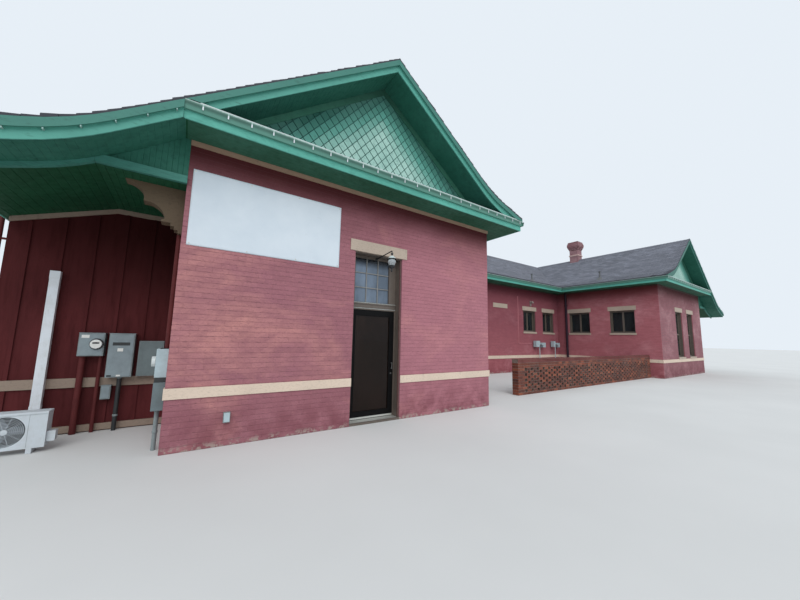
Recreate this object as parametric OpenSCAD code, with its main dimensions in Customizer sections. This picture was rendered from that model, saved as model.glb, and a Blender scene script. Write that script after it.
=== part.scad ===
// Brick railway station: two gabled wings and a rear range round a shallow court.
// Millimetres, Z up, ground at zero, front towards -Y, origin at the middle of the plan.
// Unless said otherwise a wall's own drawing has x along the wall, y into it and z up.

/* [Plan] */
// Width of each wing, and depth of the rear range, over the brick
range_w = 6330; // [5600:10:7200]
// Width of the court between the wings
court_w = 11800; // [10500:50:14000]
// Depth of the court
court_d = 4810; // [4400:10:6000]
// Thickness of the brick walls
wall_t = 330; // [230:10:400]
// Thickness of the floor slab above ground
floor_t = 40; // [20:5:120]

/* [Roof] */
// Height of the roof's edge along the front and court
eave_z = 4600; // [4560:10:4700]
// Rise of the main slope for each unit of run
pitch = 0.734; // [0.70:0.002:0.76]
// Rise of the flared foot of the slope for each unit of run
flare_pitch = 0.333; // [0.25:0.01:0.42]
// Width of the flared foot, on plan
flare_w = 1140; // [900:10:1300]
// Half length of the curve between slope and flare
flare_bend = 350; // [150:10:400]
// Thickness of roof deck and shingles, measured plumb
roof_t = 80; // [50:5:120]
// Reach of the front and court eaves beyond the brick
court_overhang = 660; // [560:10:760]
// Reach of the gable verge beyond the brick
front_overhang = 530; // [400:10:700]
// Reach of the wide eaves at the outer sides and rear
outer_overhang = 2220; // [2160:10:2400]
// Depth of the boxed verge below the top of the roof
rake_h = 240; // [200:5:280]
// Thickness of fascia, soffit and verge boards
board_t = 22; // [15:1:35]

/* [Eaves] */
// Underside of the soffit along the front and court
soffit_z = 4330; // [4250:10:4345]
// Depth of a gutter from back to front
gutter_w = 62; // [45:1:110]
// Height of a gutter
gutter_h = 112; // [80:1:140]
// Drop from the roof's edge to the rim of its gutter
gutter_drop = 50; // [30:1:70]
// Thickness of gutter metal
gutter_t = 3; // [2:0.5:5]
// Height of the plain band under the brickwork's soffit
frieze_h = 80; // [50:5:140]
// Underside of the level ceiling below the wide eaves
ceiling_z = 3650; // [3550:10:3700]
// Width of the level part of that ceiling
ceiling_flat = 950; // [700:10:1100]
// Height of the beam that closes the wide eave at the front
beam_h = 105; // [100:5:180]
// Gap left between lengths of gutter, board and trim
joint_gap = 2; // [1:0.5:4]
// Gap left where a wall's top meets the sloping ceiling
seat_gap = 0.3; // [0.2:0.1:1]

/* [Entrance] */
// Middle of the doorway from the left corner of the front
door_x = 3196; // [2600:1:3700]
// Width of the doorway in the brick
door_w = 1060; // [960:10:1200]
// Underside of the stone lintels above ground
head_z = 3167; // [3000:1:3200]
// Top of the door leaf above ground
leaf_top = 2084; // [1980:1:2200]
// Depth of the door behind the face of the brick
door_recess = 200; // [120:5:225]
// Width of the door frame's posts
frame_w = 40; // [30:1:60]
// Thickness of the door frame from front to back
frame_d = 100; // [80:1:105]
// Thickness of the door leaf
leaf_t = 45; // [38:1:55]
// Width of the leaf's stiles
stile_w = 100; // [60:1:120]
// Height of the leaf's bottom rail
bottom_rail = 130; // [90:5:260]
// Running gap round the door leaf
leaf_gap = 6; // [5:0.5:8]
// Gap between the leaf and its threshold
leaf_lift = 10; // [6:1:15]

/* [Windows] */
// Width of the small windows
window_w = 1090; // [900:10:1200]
// Height of the small windows
window_h = 1117; // [900:1:1300]
// Width of the tall windows on the far wing's front
tall_w = 960; // [900:10:1150]
// Depth of a window behind the face of the brick
window_recess = 140; // [100:5:180]
// Thickness of a window frame from front to back
sash_d = 70; // [50:5:90]
// Width of a window frame's members
sash_w = 70; // [50:1:90]
// Thickness of the glass
glass_t = 8; // [5:1:12]
// Height of a stone lintel
lintel_h = 213; // [150:1:260]
// Length of the door's lintel that rests on the brick at each end
lintel_bearing = 107; // [80:1:140]
// Length of a window's lintel that rests on the brick at each end
window_bearing = 72; // [50:1:140]
// Length of a window sill let into the brick at each end
sill_bearing = 35; // [10:1:80]
// Height of a stone window sill
sill_h = 90; // [60:5:140]
// Amount that the stone stands proud of the brick
stone_proud = 18; // [10:1:30]
// Underside of the stone belt above ground
belt_z = 689; // [600:1:760]
// Height of the stone belt
belt_h = 143; // [100:1:180]

/* [Boarded lean-to] */
// Width of the boarded room under the left eave
annex_w = 2140; // [1900:10:2150]
// Distance of the boarded wall behind the front
annex_setback = 1800; // [1500:10:2300]
// Thickness of the boarded walls
annex_t = 110; // [80:5:150]
// Spacing of the cover battens
batten_pitch = 370; // [300:5:450]
// Width of a cover batten
batten_w = 45; // [30:1:60]
// Thickness of a cover batten
batten_t = 20; // [12:1:28]

/* [Chimney and screen wall] */
// Side of the square chimney shaft
chimney_w = 520; // [480:10:700]
// Rise of the chimney's top above the ridge
chimney_rise = 1190; // [1000:10:1500]
// Distance of the chimney's middle behind the court's rear wall face
chimney_setback = 360; // [300:10:480]
// Height of the pierced brick screen wall
screen_h = 1020; // [940:10:1250]
// Thickness of the screen wall
screen_t = 200; // [110:10:260]
// Width of the solid brick at its ends
pier_w = 330; // [300:10:480]
// Distance of the screen wall behind the front
screen_setback = 500; // [200:10:600]
// Clear way between the near wing and the screen's end
screen_gap = 1870; // [1400:10:2200]

/* [Hidden] */
$fn = 48;

// Plan, worked out from the driving sizes
half = range_w / 2;
x_court = court_w / 2;
x_out = x_court + range_w;
x_ridge = x_court + half;
y_rear = (court_d + range_w) / 2;
y_front = -y_rear;
y_court = y_front + court_d;
y_ridge = y_rear - half;
court_reach = half + court_overhang;
outer_reach = half + outer_overhang;
ridge_z = eave_z + pitch * (court_reach - flare_w) + flare_pitch * flare_w;
far = 40000;
tall = 9000;

// Roof profile across a range: run from the ridge, minus outwards and plus to the court
function kick(reach) = reach - flare_w;
function kick_z(reach) = ridge_z - pitch * kick(reach);
function bend(a, k, b, t) = (1 - t) * (1 - t) * a + 2 * t * (1 - t) * k + t * t * b;
function slope(reach, side) = concat(
    [for (t = [0:1/4:1]) [
        side * bend(kick(reach) - flare_bend, kick(reach), kick(reach) + flare_bend, t),
        bend(kick_z(reach) + pitch * flare_bend, kick_z(reach),
             kick_z(reach) - flare_pitch * flare_bend, t)
    ]],
    [[side * reach, kick_z(reach) - flare_pitch * flare_w]]
);
function turned(list) = [for (i = [len(list) - 1:-1:0]) list[i]];
roof_line = concat(turned(slope(outer_reach, -1)), [[0, ridge_z]], slope(court_reach, 1));
function roof_z(u) = lookup(u, roof_line);
function line(a, b) = concat([[a, roof_z(a)]], [for (p = roof_line) if (p[0] > a && p[0] < b) p],
                             [[b, roof_z(b)]]);
function lowered(list, d) = [for (p = list) [p[0], p[1] - d]];
outer_tip = roof_z(-outer_reach);
court_tip = roof_z(court_reach);

module band(a, b, d0, d1) polygon(concat(lowered(line(a, b), d0), turned(lowered(line(a, b), d1))));
module under_roof(a, b, z0, d) polygon(concat([[a, z0]], lowered(line(a, b), d), [[b, z0]]));

// Straight lengths and the three mitred legs that follow wings and rear range
module along_y(a, b) translate([0, b, 0]) rotate([90, 0, 0]) linear_extrude(b - a) children();
module along_x(a, b) translate([a, 0, 0]) rotate([90, 0, 90]) linear_extrude(b - a) children();
module left_run(front, gap = 0) intersection() {
    translate([-x_ridge, 0, 0]) along_y(front, y_ridge + outer_reach + 200) children();
    linear_extrude(tall) polygon([
        [-far, y_ridge - x_ridge + far - gap], [-far, -far], [y_ridge - x_ridge + far - gap, -far]
    ]);
}
module right_run(front, gap = 0) mirror([1, 0, 0]) left_run(front, gap) children();
module rear_run(gap = 0) intersection() {
    along_x(-x_ridge - outer_reach - 200, x_ridge + outer_reach + 200)
        translate([y_ridge, 0]) mirror([1, 0]) children();
    linear_extrude(tall) polygon([
        [0, y_ridge - x_ridge + gap],
        [far, y_ridge - x_ridge + far + gap],
        [-far, y_ridge - x_ridge + far + gap]
    ]);
}
module all_runs(front) {
    left_run(front, joint_gap / 2) children();
    rear_run(joint_gap / 2) children();
    right_run(front, joint_gap / 2) children();
}
module box(a, b) translate(a) cube(b - a);
module both_wings() {
    children();
    mirror([1, 0, 0]) children();
}

// Where each wall stands: x along it from its own middle, y into it
module on_front_left() translate([-x_out, y_front, 0]) children();
module on_front_right() translate([x_court, y_front, 0]) children();
module on_court_back() translate([0, y_court, 0]) children();
module on_court_left() translate([-x_court, (y_front + y_court) / 2, 0]) rotate([0, 0, 90]) children();
module on_court_right() translate([x_court, (y_front + y_court) / 2, 0]) rotate([0, 0, -90]) children();
module on_left_side() translate([-x_out, 0, 0]) rotate([0, 0, -90]) children();
module on_right_side() translate([x_out, 0, 0]) rotate([0, 0, 90]) children();
module on_rear() translate([0, y_rear, 0]) rotate([0, 0, 180]) children();

// Windows of each wall, by the middle of each opening
court_back_windows = [3140, 4910];
blind_windows = [730];
blind_w = 940;
right_court_windows = [-1185, 882];
left_court_windows = [for (x = right_court_windows) -x];
front_tall_windows = [2640, 4410];
end_bracket = 190;
front_bracket = 340;
side_bays = 3;
rear_bays = 7;
side_bay = (2 * y_rear - 2 * end_bracket) / side_bays;
rear_bay = (2 * x_out - 2 * end_bracket) / rear_bays;
side_windows = [for (i = [0:side_bays - 1]) (i - (side_bays - 1) / 2) * side_bay];
rear_windows = [for (i = [0:rear_bays - 1]) (i - (rear_bays - 1) / 2) * rear_bay];
small_sill = head_z - window_h;
tall_sill = belt_z + belt_h + sill_h;
annex_left = -x_out - annex_w;
annex_front = y_front + annex_setback;

brick = "#8c4a52";
stone = "#c9b79a";
green = "#1f6b58";
dark = "#3a2226";
slate = "#4a4850";

module opening(x, w, z0, z1) box([x - w / 2, -50, z0], [x + w / 2, wall_t + 50, z1]);
module window_holes(list, w, sill) for (x = list) {
    opening(x, w, sill, head_z);
    opening(x, w + 2 * window_bearing, head_z, head_z + lintel_h);
    opening(x, w + 2 * sill_bearing, sill - sill_h, sill);
}
module blind_holes(list, w) for (x = list)
    opening(x, w + 2 * window_bearing, head_z, head_z + lintel_h);

// Slab of the floor in three parts, one under each range
module floor() color("#7d7468") {
    both_wings() box([-x_out + wall_t, y_front + wall_t, 0], [-x_court - wall_t, y_rear - wall_t, floor_t]);
    box([-x_court - wall_t + joint_gap, y_court + wall_t, 0],
        [x_court + wall_t - joint_gap, y_rear - wall_t, floor_t]);
}

module lintel_pocket() translate([-x_out + door_x, y_front, 0])
    opening(0, door_w + 2 * lintel_bearing, head_z, head_z + lintel_h);
module front_wall_left() color(brick) difference() {
    box([-x_out, y_front, 0], [-x_out + door_x - door_w / 2, y_front + wall_t, soffit_z]);
    lintel_pocket();
}
module front_wall_right() color(brick) difference() {
    box([-x_out + door_x + door_w / 2, y_front, 0], [-x_court, y_front + wall_t, soffit_z]);
    lintel_pocket();
}
module front_wall_over_door() color(brick)
    box([-x_out + door_x - door_w / 2, y_front, head_z + lintel_h],
        [-x_out + door_x + door_w / 2, y_front + wall_t, soffit_z]);
module left_side_wall() color(brick)
    left_run(y_front + wall_t) under_roof(-half, -half + wall_t, 0, roof_t);
module left_court_wall() color(brick) difference() {
    left_run(y_front + wall_t) under_roof(half - wall_t, half, 0, roof_t);
    on_court_left() window_holes(left_court_windows, window_w, small_sill);
}
module back_court_wall() color(brick) difference() {
    rear_run() under_roof(half - wall_t, half, 0, roof_t);
    on_court_back() window_holes(court_back_windows, window_w, small_sill);
    on_court_back() blind_holes(blind_windows, blind_w);
}
module right_court_wall() color(brick) difference() {
    right_run(y_front + wall_t) under_roof(half - wall_t, half, 0, roof_t);
    on_court_right() window_holes(right_court_windows, window_w, small_sill);
}
module far_front_wall() color(brick) difference() {
    box([x_court, y_front, 0], [x_out, y_front + wall_t, soffit_z]);
    on_front_right() window_holes(front_tall_windows, tall_w, tall_sill);
}
module right_side_wall() color(brick) difference() {
    right_run(y_front + wall_t) under_roof(-half, -half + wall_t, 0, roof_t);
    on_right_side() window_holes(side_windows, window_w, small_sill);
}
module rear_wall() color(brick) difference() {
    rear_run() under_roof(-half, -half + wall_t, 0, roof_t);
    on_rear() window_holes(rear_windows, window_w, small_sill);
}

// Stone belt, broken at the doorway and by the tall windows' sills above it
module belt_length(a, b) box([a, -stone_proud, belt_z], [b, 0, belt_z + belt_h]);
module belt_course() color(stone) difference() {
    union() {
        on_front_left() {
            belt_length(-stone_proud, door_x - door_w / 2);
            belt_length(door_x + door_w / 2, range_w + stone_proud);
        }
        on_left_side() belt_length(-y_front - annex_setback + board_t + 10, -y_front - joint_gap);
        on_front_right() belt_length(-stone_proud, range_w + stone_proud);
        on_court_left() belt_length(-court_d / 2 + joint_gap, court_d / 2 - stone_proud - joint_gap);
        on_court_right() belt_length(-court_d / 2 + stone_proud + joint_gap, court_d / 2 - joint_gap);
        on_court_back() belt_length(-x_court, x_court);
        on_right_side() belt_length(y_front + joint_gap, y_rear - joint_gap);
        on_rear() belt_length(-x_out - stone_proud, x_out + stone_proud);
    }
    screen_body();
}

module lintel(x, w, bearing) box([x - w / 2 - bearing, -stone_proud, head_z],
                                 [x + w / 2 + bearing, wall_t, head_z + lintel_h]);
module sill(x, w, z) box([x - w / 2 - sill_bearing, -2 * stone_proud, z - sill_h],
                         [x + w / 2 + sill_bearing, wall_t, z]);
module at_windows(tall_ones) {
    on_court_back() for (x = court_back_windows) translate([x, 0, 0]) children(0);
    on_court_left() for (x = left_court_windows) translate([x, 0, 0]) children(0);
    on_court_right() for (x = right_court_windows) translate([x, 0, 0]) children(0);
    on_right_side() for (x = side_windows) translate([x, 0, 0]) children(0);
    on_rear() for (x = rear_windows) translate([x, 0, 0]) children(0);
    if (tall_ones) on_front_right() for (x = front_tall_windows) translate([x, 0, 0]) children(1);
}
module lintels() color(stone) {
    on_front_left() lintel(door_x, door_w, lintel_bearing);
    on_court_back() for (x = blind_windows) lintel(x, blind_w, window_bearing);
    at_windows(true) {
        lintel(0, window_w, window_bearing);
        lintel(0, tall_w, window_bearing);
    }
}
module sills() color(stone) at_windows(true) {
    sill(0, window_w, small_sill);
    sill(0, tall_w, tall_sill);
}

// Plain painted band along the top of the brick
module frieze_length(a, b) box([a, -stone_proud, soffit_z - frieze_h], [b, 0, soffit_z]);
module frieze() color(stone) {
    on_front_left() frieze_length(0, range_w + stone_proud);
    on_front_right() frieze_length(-stone_proud, range_w);
    on_court_left() frieze_length(-court_d / 2 + joint_gap, court_d / 2 - stone_proud - joint_gap);
    on_court_right() frieze_length(-court_d / 2 + stone_proud + joint_gap, court_d / 2 - joint_gap);
    on_court_back() frieze_length(-x_court, x_court);
}

// Entrance: recessed frame with a transom light over one glazed leaf
frame_y = door_recess;
casing_y = 35;
casing_t = 20;
bar_z = leaf_top + leaf_gap;
bar_h = 150;
bar_proud = 12;
light_z = bar_z + bar_h;
light_left = frame_w + 70;
light_right = frame_w + 140;
light_top = 60;
module transom_light(y0, y1) box([door_x - door_w / 2 + light_left, y0, light_z],
                                 [door_x + door_w / 2 - light_right, y1, head_z - light_top]);
hinge_x = door_x - door_w / 2 + frame_w + leaf_gap;
leaf_w = door_w - 2 * frame_w - 2 * leaf_gap;
leaf_z = floor_t + leaf_lift;
pin_x = hinge_x - leaf_gap / 2;
knuckle_r = 9;
knuckle_h = 45;
knuckle_gap = 0.5;
plate_w = 22;
plate_t = 4;
hinge_heights = [leaf_z + 180, (leaf_z + leaf_top) / 2, leaf_top - 270];
module knuckle(z, side) {
    translate([pin_x, frame_y - knuckle_r, z]) cylinder(r = knuckle_r, h = knuckle_h);
    translate([pin_x + (side < 0 ? -plate_w : 0), frame_y - plate_t, z]) cube([plate_w, plate_t, knuckle_h]);
}
module door_casing() color("#4c4740") on_front_left() difference() {
    box([door_x - door_w / 2, casing_y, floor_t], [door_x + door_w / 2, frame_y, head_z]);
    box([door_x - door_w / 2 + casing_t, casing_y - 1, -1],
        [door_x + door_w / 2 - casing_t, frame_y + 1, head_z - casing_t]);
}
module door_frame() color("#5b544c") on_front_left() {
    for (z = hinge_heights) knuckle(z, -1);
    difference() {
        box([door_x - door_w / 2, frame_y, floor_t], [door_x + door_w / 2, frame_y + frame_d, head_z]);
        box([door_x - door_w / 2 + frame_w, frame_y - 1, -1],
            [door_x + door_w / 2 - frame_w, frame_y + frame_d + 1, bar_z]);
        transom_light(frame_y - 1, frame_y + frame_d + 1);
    }
    box([door_x - door_w / 2 + casing_t, frame_y - bar_proud, bar_z + leaf_gap],
        [door_x + door_w / 2 - casing_t, frame_y, bar_z + frame_w]);
    box([door_x - door_w / 2 + casing_t, frame_y - bar_proud, light_z - frame_w],
        [door_x + door_w / 2 - casing_t, frame_y, light_z - leaf_gap]);
    box([door_x - door_w / 2, 0, 0], [door_x + door_w / 2, wall_t, floor_t]);
}
module door_leaf() color("#15181a") on_front_left() difference() {
    box([hinge_x, frame_y, leaf_z], [hinge_x + leaf_w, frame_y + leaf_t, leaf_top]);
    box([hinge_x + stile_w, frame_y - 1, leaf_z + bottom_rail],
        [hinge_x + leaf_w - stile_w, frame_y + 1 + leaf_t, leaf_top - stile_w]);
}
module door_glass() color("#2c3a40", 0.6) on_front_left()
    box([hinge_x + stile_w, frame_y + (leaf_t - glass_t) / 2, leaf_z + bottom_rail],
        [hinge_x + leaf_w - stile_w, frame_y + (leaf_t + glass_t) / 2, leaf_top - stile_w]);
pull_z = 1010;
pull_half = 60;
pull_r = 8;
pull_reach = 45;
lock_r = 17;
lock_drop = 90;
module door_fittings() color("#2a2c2e") on_front_left() {
    for (z = hinge_heights) knuckle(z + knuckle_h + knuckle_gap, 1);
    translate([hinge_x + leaf_w - stile_w / 2, 0, 0]) {
        for (z = [pull_z - pull_half + pull_r, pull_z + pull_half - pull_r])
            translate([0, frame_y, z]) rotate([90, 0, 0]) cylinder(r = pull_r, h = pull_reach);
        translate([0, frame_y - pull_reach, pull_z - pull_half]) cylinder(r = pull_r, h = 2 * pull_half);
        translate([0, frame_y, pull_z - pull_half - lock_drop]) rotate([90, 0, 0])
            cylinder(r = lock_r, h = pull_r);
    }
}

// Window units: lining of the reveal, frame, mullion or meeting rail, and panes between them
module sash(w, sill, across) {
    y0 = window_recess;
    difference() {
        box([-w / 2, casing_y, sill], [w / 2, y0 + sash_d, head_z]);
        box([-w / 2 + casing_t, casing_y - 1, sill + casing_t], [w / 2 - casing_t, y0, head_z - casing_t]);
        panes_of(w, sill, across, y0 - 1, y0 + sash_d + 1);
    }
}
module panes_of(w, sill, across, y0, y1) {
    xm = across ? sash_w / 2 : 0;
    zm = (sill + head_z) / 2;
    if (across) {
        box([-w / 2 + sash_w, y0, sill + sash_w], [-xm, y1, head_z - sash_w]);
        box([xm, y0, sill + sash_w], [w / 2 - sash_w, y1, head_z - sash_w]);
    } else {
        box([-w / 2 + sash_w, y0, sill + sash_w], [w / 2 - sash_w, y1, zm - sash_w / 2]);
        box([-w / 2 + sash_w, y0, zm + sash_w / 2], [w / 2 - sash_w, y1, head_z - sash_w]);
    }
}
glass_y = window_recess + (sash_d - glass_t) / 2;
module window_frames() color("#4c463f") at_windows(true) {
    sash(window_w, small_sill, true);
    sash(tall_w, tall_sill, false);
}
module window_glass() color("#55646e", 0.6) {
    at_windows(true) {
        panes_of(window_w, small_sill, true, glass_y, glass_y + glass_t);
        panes_of(tall_w, tall_sill, false, glass_y, glass_y + glass_t);
    }
    on_front_left() transom_light(frame_y + (frame_d - glass_t) / 2, frame_y + (frame_d + glass_t) / 2);
}

// Roof decks, each a folded sheet with a flared foot
verge_y = y_front - front_overhang;
module left_roof() color(slate) left_run(verge_y) band(-outer_reach, court_reach, 0, roof_t);
module main_roof() color(slate) rear_run() band(-outer_reach, court_reach, 0, roof_t);
module right_roof() color(slate) difference() {
    right_run(verge_y) band(-outer_reach, court_reach, 0, roof_t);
    chimney_shaft();
}

gable_t = 150;
module gable() translate([-x_ridge, 0, 0]) along_y(y_front, y_front + gable_t)
    under_roof(-half, half, soffit_z, roof_t);
module gables() color("#4f9a88") both_wings() gable();

// Pent roof across the foot of each gable
pent_rise = 90;
pent_left = -x_out - 100;
pent_right = -x_court + court_overhang;
pent_top = court_tip - gutter_drop;
pent_t = 40;
module pent_slope(d0, d1) polygon([
    [verge_y, pent_top - d1], [y_front, pent_top - d1 + pent_rise],
    [y_front, pent_top - d0 + pent_rise], [verge_y, pent_top - d0]
]);
module pent_cut() union() {
    along_x(pent_left - joint_gap, -x_court + court_overhang + 2 * gutter_w) pent_slope(-1, 1000);
    box([pent_left - joint_gap, verge_y - 2 * gutter_w, pent_top - 1000],
        [-x_court + court_overhang + 2 * gutter_w, verge_y + 1, pent_top + 1]);
}
module pent_roofs() color(slate) both_wings() intersection() {
    along_x(pent_left, pent_right - board_t) pent_slope(0, pent_t);
    translate([-x_ridge, 0, 0]) along_y(verge_y - 1, y_front + 1)
        under_roof(-outer_reach, court_reach, 0, roof_t);
}

// Verge boards with their raised moulding
mould_h = 120;
mould_drop = 12;
module verge_legs(inset, d0, d1) {
    band(-outer_reach + inset, -joint_gap / 2, d0, d1);
    band(joint_gap / 2, court_reach - inset, d0, d1);
}
module rake_boards() color(green) both_wings() difference() {
    translate([-x_ridge, 0, 0]) {
        along_y(verge_y - board_t, verge_y) verge_legs(0, 0, rake_h);
        along_y(verge_y - gutter_w, verge_y - board_t) verge_legs(0, mould_drop, mould_h);
    }
    pent_cut();
}

// Fascias below the roof's edges
fascia_drop = 10;
module fascias() color(green) {
    all_runs(verge_y + board_t + joint_gap) translate([court_reach - board_t, soffit_z - fascia_drop])
        square([board_t, court_tip - roof_t - soffit_z + fascia_drop]);
    all_runs(verge_y) translate([-outer_reach, outer_tip - rake_h]) square([board_t, rake_h - roof_t]);
    both_wings() intersection() {
        box([pent_left, verge_y, soffit_z - fascia_drop],
            [pent_right, verge_y + board_t, pent_top - pent_t]);
        translate([-x_ridge, 0, 0]) along_y(verge_y - 1, verge_y + board_t + 1)
            under_roof(-outer_reach, court_reach, 0, roof_t + joint_gap);
    }
}

// Moulded gutters, open at the top
module gutter_section() difference() {
    polygon([[0, 0], [gutter_w * 0.55, 0], [gutter_w * 0.8, gutter_h * 0.45], [gutter_w, gutter_h * 0.7],
             [gutter_w, gutter_h], [0, gutter_h]]);
    translate([gutter_t, gutter_t]) polygon([
        [0, 0], [gutter_w * 0.55 - 2 * gutter_t, 0], [gutter_w * 0.8 - 2 * gutter_t, gutter_h * 0.45],
        [gutter_w - 2 * gutter_t, gutter_h * 0.7], [gutter_w - 2 * gutter_t, gutter_h + 1], [0, gutter_h + 1]
    ]);
}
module gutters() color("#2c7a66") {
    all_runs(verge_y - gutter_w) translate([court_reach, court_tip - gutter_drop - gutter_h])
        gutter_section();
    all_runs(verge_y - gutter_w) translate([-outer_reach, outer_tip - gutter_drop - gutter_h])
        mirror([1, 0]) gutter_section();
    both_wings() along_x(pent_left, pent_right - joint_gap)
        translate([verge_y, pent_top - gutter_h]) mirror([1, 0]) gutter_section();
}

// Level soffits, and the sloping boards under each verge
module soffits() color(green) {
    all_runs(y_front) translate([half, soffit_z]) square([court_overhang - board_t, board_t]);
    both_wings() box([pent_left, verge_y + board_t, soffit_z],
                     [pent_right - board_t, y_front - joint_gap, soffit_z + board_t]);
    both_wings() difference() {
        translate([-x_ridge, 0, 0]) along_y(verge_y, y_front - joint_gap)
            verge_legs(board_t, rake_h - board_t, rake_h);
        pent_cut();
    }
}

// Ceiling of the wide eaves: level by the wall, then down to the fascia
module ceiling_section() polygon([
    [-half, ceiling_z], [-half - ceiling_flat, ceiling_z],
    [-outer_reach + board_t, outer_tip - rake_h + 5],
    [-outer_reach + board_t, outer_tip - rake_h + 5 + board_t],
    [-half - ceiling_flat, ceiling_z + board_t], [-half, ceiling_z + board_t]
]);
module wide_eave_ceilings() color(green) all_runs(y_front) ceiling_section();

// Closing panel and beam across the front of each wide eave
module eave_beams() color(green) both_wings() translate([-x_ridge, 0, 0]) {
    along_y(y_front, y_front + 30)
        under_roof(-half - ceiling_flat, -half, ceiling_z + board_t, roof_t + joint_gap);
    along_y(y_front - 60, y_front) difference() {
        translate([-half - ceiling_flat, ceiling_z]) square([ceiling_flat, beam_h]);
        band(-half - ceiling_flat, -half, 0, rake_h);
    }
    along_y(y_front - 60, y_front)
        band(-outer_reach + board_t, -half - ceiling_flat - joint_gap, rake_h, rake_h + 60);
}

// Scroll brackets under the wide eaves: two hollow curves with lips between, then three small steps
bracket_tip = 20;
bracket_curve = 215;
bracket_lip = 35;
bracket_nose = 35;
bracket_step = 45;
bracket_foot = 150;
bracket_t = 180;
upper_reach = 2 * bracket_curve + bracket_nose + 225;
lower_reach = upper_reach - bracket_curve - bracket_nose;
upper_z = -bracket_tip - bracket_curve;
lower_z = upper_z - bracket_lip - bracket_curve;
foot_z = lower_z - bracket_lip - 3 * bracket_step;
module hollow(x, z) difference() {
    translate([0, z]) square([x, -z]);
    translate([x, z]) circle(r = bracket_curve);
}
module bracket_section() {
    hollow(upper_reach, upper_z);
    translate([0, upper_z - bracket_lip]) square([upper_reach - bracket_curve, bracket_lip + 1]);
    difference() {
        translate([0, lower_z]) square([lower_reach, -lower_z + upper_z - bracket_lip + 1]);
        translate([lower_reach, lower_z]) circle(r = bracket_curve);
    }
    translate([0, lower_z - bracket_lip])
        square([lower_reach - bracket_curve + bracket_lip, bracket_lip + 1]);
    for (i = [0:2]) translate([0, lower_z - bracket_lip - bracket_step * (i + 1)])
        square([bracket_foot - bracket_step * i + 1 - i, bracket_step + 1]);
}
module bracket() rotate([90, 0, 0]) translate([0, 0, -bracket_t / 2]) linear_extrude(bracket_t)
    bracket_section();
module brackets() color(stone) {
    translate([-x_out, y_front + front_bracket, ceiling_z]) rotate([0, 0, 180]) bracket();
    for (i = [0:side_bays]) translate([x_out, y_front + end_bracket + i * side_bay, ceiling_z]) bracket();
    for (i = [0:rear_bays]) translate([-x_out + end_bracket + i * rear_bay, y_rear, ceiling_z])
        rotate([0, 0, 90]) bracket();
}

// Chimney through the far wing's ridge: a thin band, then courses stepped out and in to its top
chimney_y = y_court + chimney_setback;
chimney_top = ridge_z + chimney_rise;
course = 76;
flue = 260;
flue_depth = 700;
head_steps = [28, 60, 92, 107, 107, 84, 58];
head_z0 = chimney_top - len(head_steps) * course;
band_down = 880;
band_proud = 32;
module chimney_shaft() translate([x_ridge - chimney_w / 2, chimney_y - chimney_w / 2, floor_t])
    cube([chimney_w, chimney_w, head_z0 + 1 - floor_t]);
module collar(out, z, h) translate([x_ridge - chimney_w / 2 - out, chimney_y - chimney_w / 2 - out, z])
    cube([chimney_w + 2 * out, chimney_w + 2 * out, h]);
module chimney() color(brick) difference() {
    union() {
        chimney_shaft();
        collar(band_proud, chimney_top - band_down - course, course);
        for (i = [0:len(head_steps) - 1]) collar(head_steps[i], head_z0 + i * course, course);
    }
    translate([x_ridge - flue / 2, chimney_y - flue / 2, chimney_top - flue_depth])
        cube([flue, flue, flue_depth + 1]);
}

// Vent pipes with caps, on the court slopes of the rear range and the far wing
vent_r = 35;
vent_cap_r = 70;
vent_h = 370;
vent_foot_r = 110;
vent_run = 2760;
module vent(run) translate([0, 0, roof_z(run)]) difference() {
    union() {
        translate([0, 0, -vent_h]) cylinder(r = vent_r, h = 2 * vent_h);
        translate([0, 0, -vent_foot_r]) cylinder(r1 = 2 * vent_foot_r, r2 = vent_r, h = 2 * vent_foot_r);
        translate([0, 0, vent_h]) cylinder(r = vent_cap_r, h = vent_r);
    }
    rotate([90, 0, 0]) translate([0, -roof_z(run), -vent_h]) linear_extrude(2 * vent_h)
        translate([-run, 0]) under_roof(0, court_reach, 0, 0);
}
module roof_vents() color("#2b2b2e") {
    translate([x_court - 1800, y_ridge - vent_run, 0]) rotate([0, 0, -90]) vent(vent_run);
    translate([x_ridge - vent_run, y_court - 2210, 0]) rotate([0, 0, 180]) vent(vent_run);
}

// Boarded room under the left wide eave
function ceiling_at(u) = lookup(-u, [
    [half, ceiling_z], [half + ceiling_flat, ceiling_z],
    [outer_reach - board_t, outer_tip - rake_h + 5]
]);
module annex_section() polygon([
    [-half - annex_w, 0], [-half - annex_w, ceiling_at(-half - annex_w) - seat_gap],
    [-half - ceiling_flat, ceiling_z - seat_gap], [-half, ceiling_z - seat_gap], [-half, 0]
]);
module annex_walls() color(dark) {
    translate([-x_ridge, 0, 0]) along_y(annex_front, annex_front + annex_t) annex_section();
    translate([-x_ridge, 0, 0]) along_y(y_rear - annex_t, y_rear) annex_section();
    box([annex_left, annex_front + annex_t + joint_gap, 0],
        [annex_left + annex_t, y_rear - annex_t - joint_gap, ceiling_at(-half - annex_w)]);
}
batten_x = 70;
function batten_top(x) = ceiling_at(-half - x - batten_w) - seat_gap - frieze_h;
module annex_battens() color("#2c1518") {
    for (x = [batten_x:batten_pitch:annex_w - 100]) translate([-x_out - x, 0, 0])
        box([-batten_w / 2, annex_front - batten_t, base_z + base_h],
            [batten_w / 2, annex_front, belt_z]);
    for (x = [batten_x:batten_pitch:annex_w - 100]) translate([-x_out - x, 0, 0])
        box([-batten_w / 2, annex_front - batten_t, belt_z + belt_h],
            [batten_w / 2, annex_front, batten_top(x)]);
}
trim_t = 30;
base_z = 15;
base_h = 100;
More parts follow.
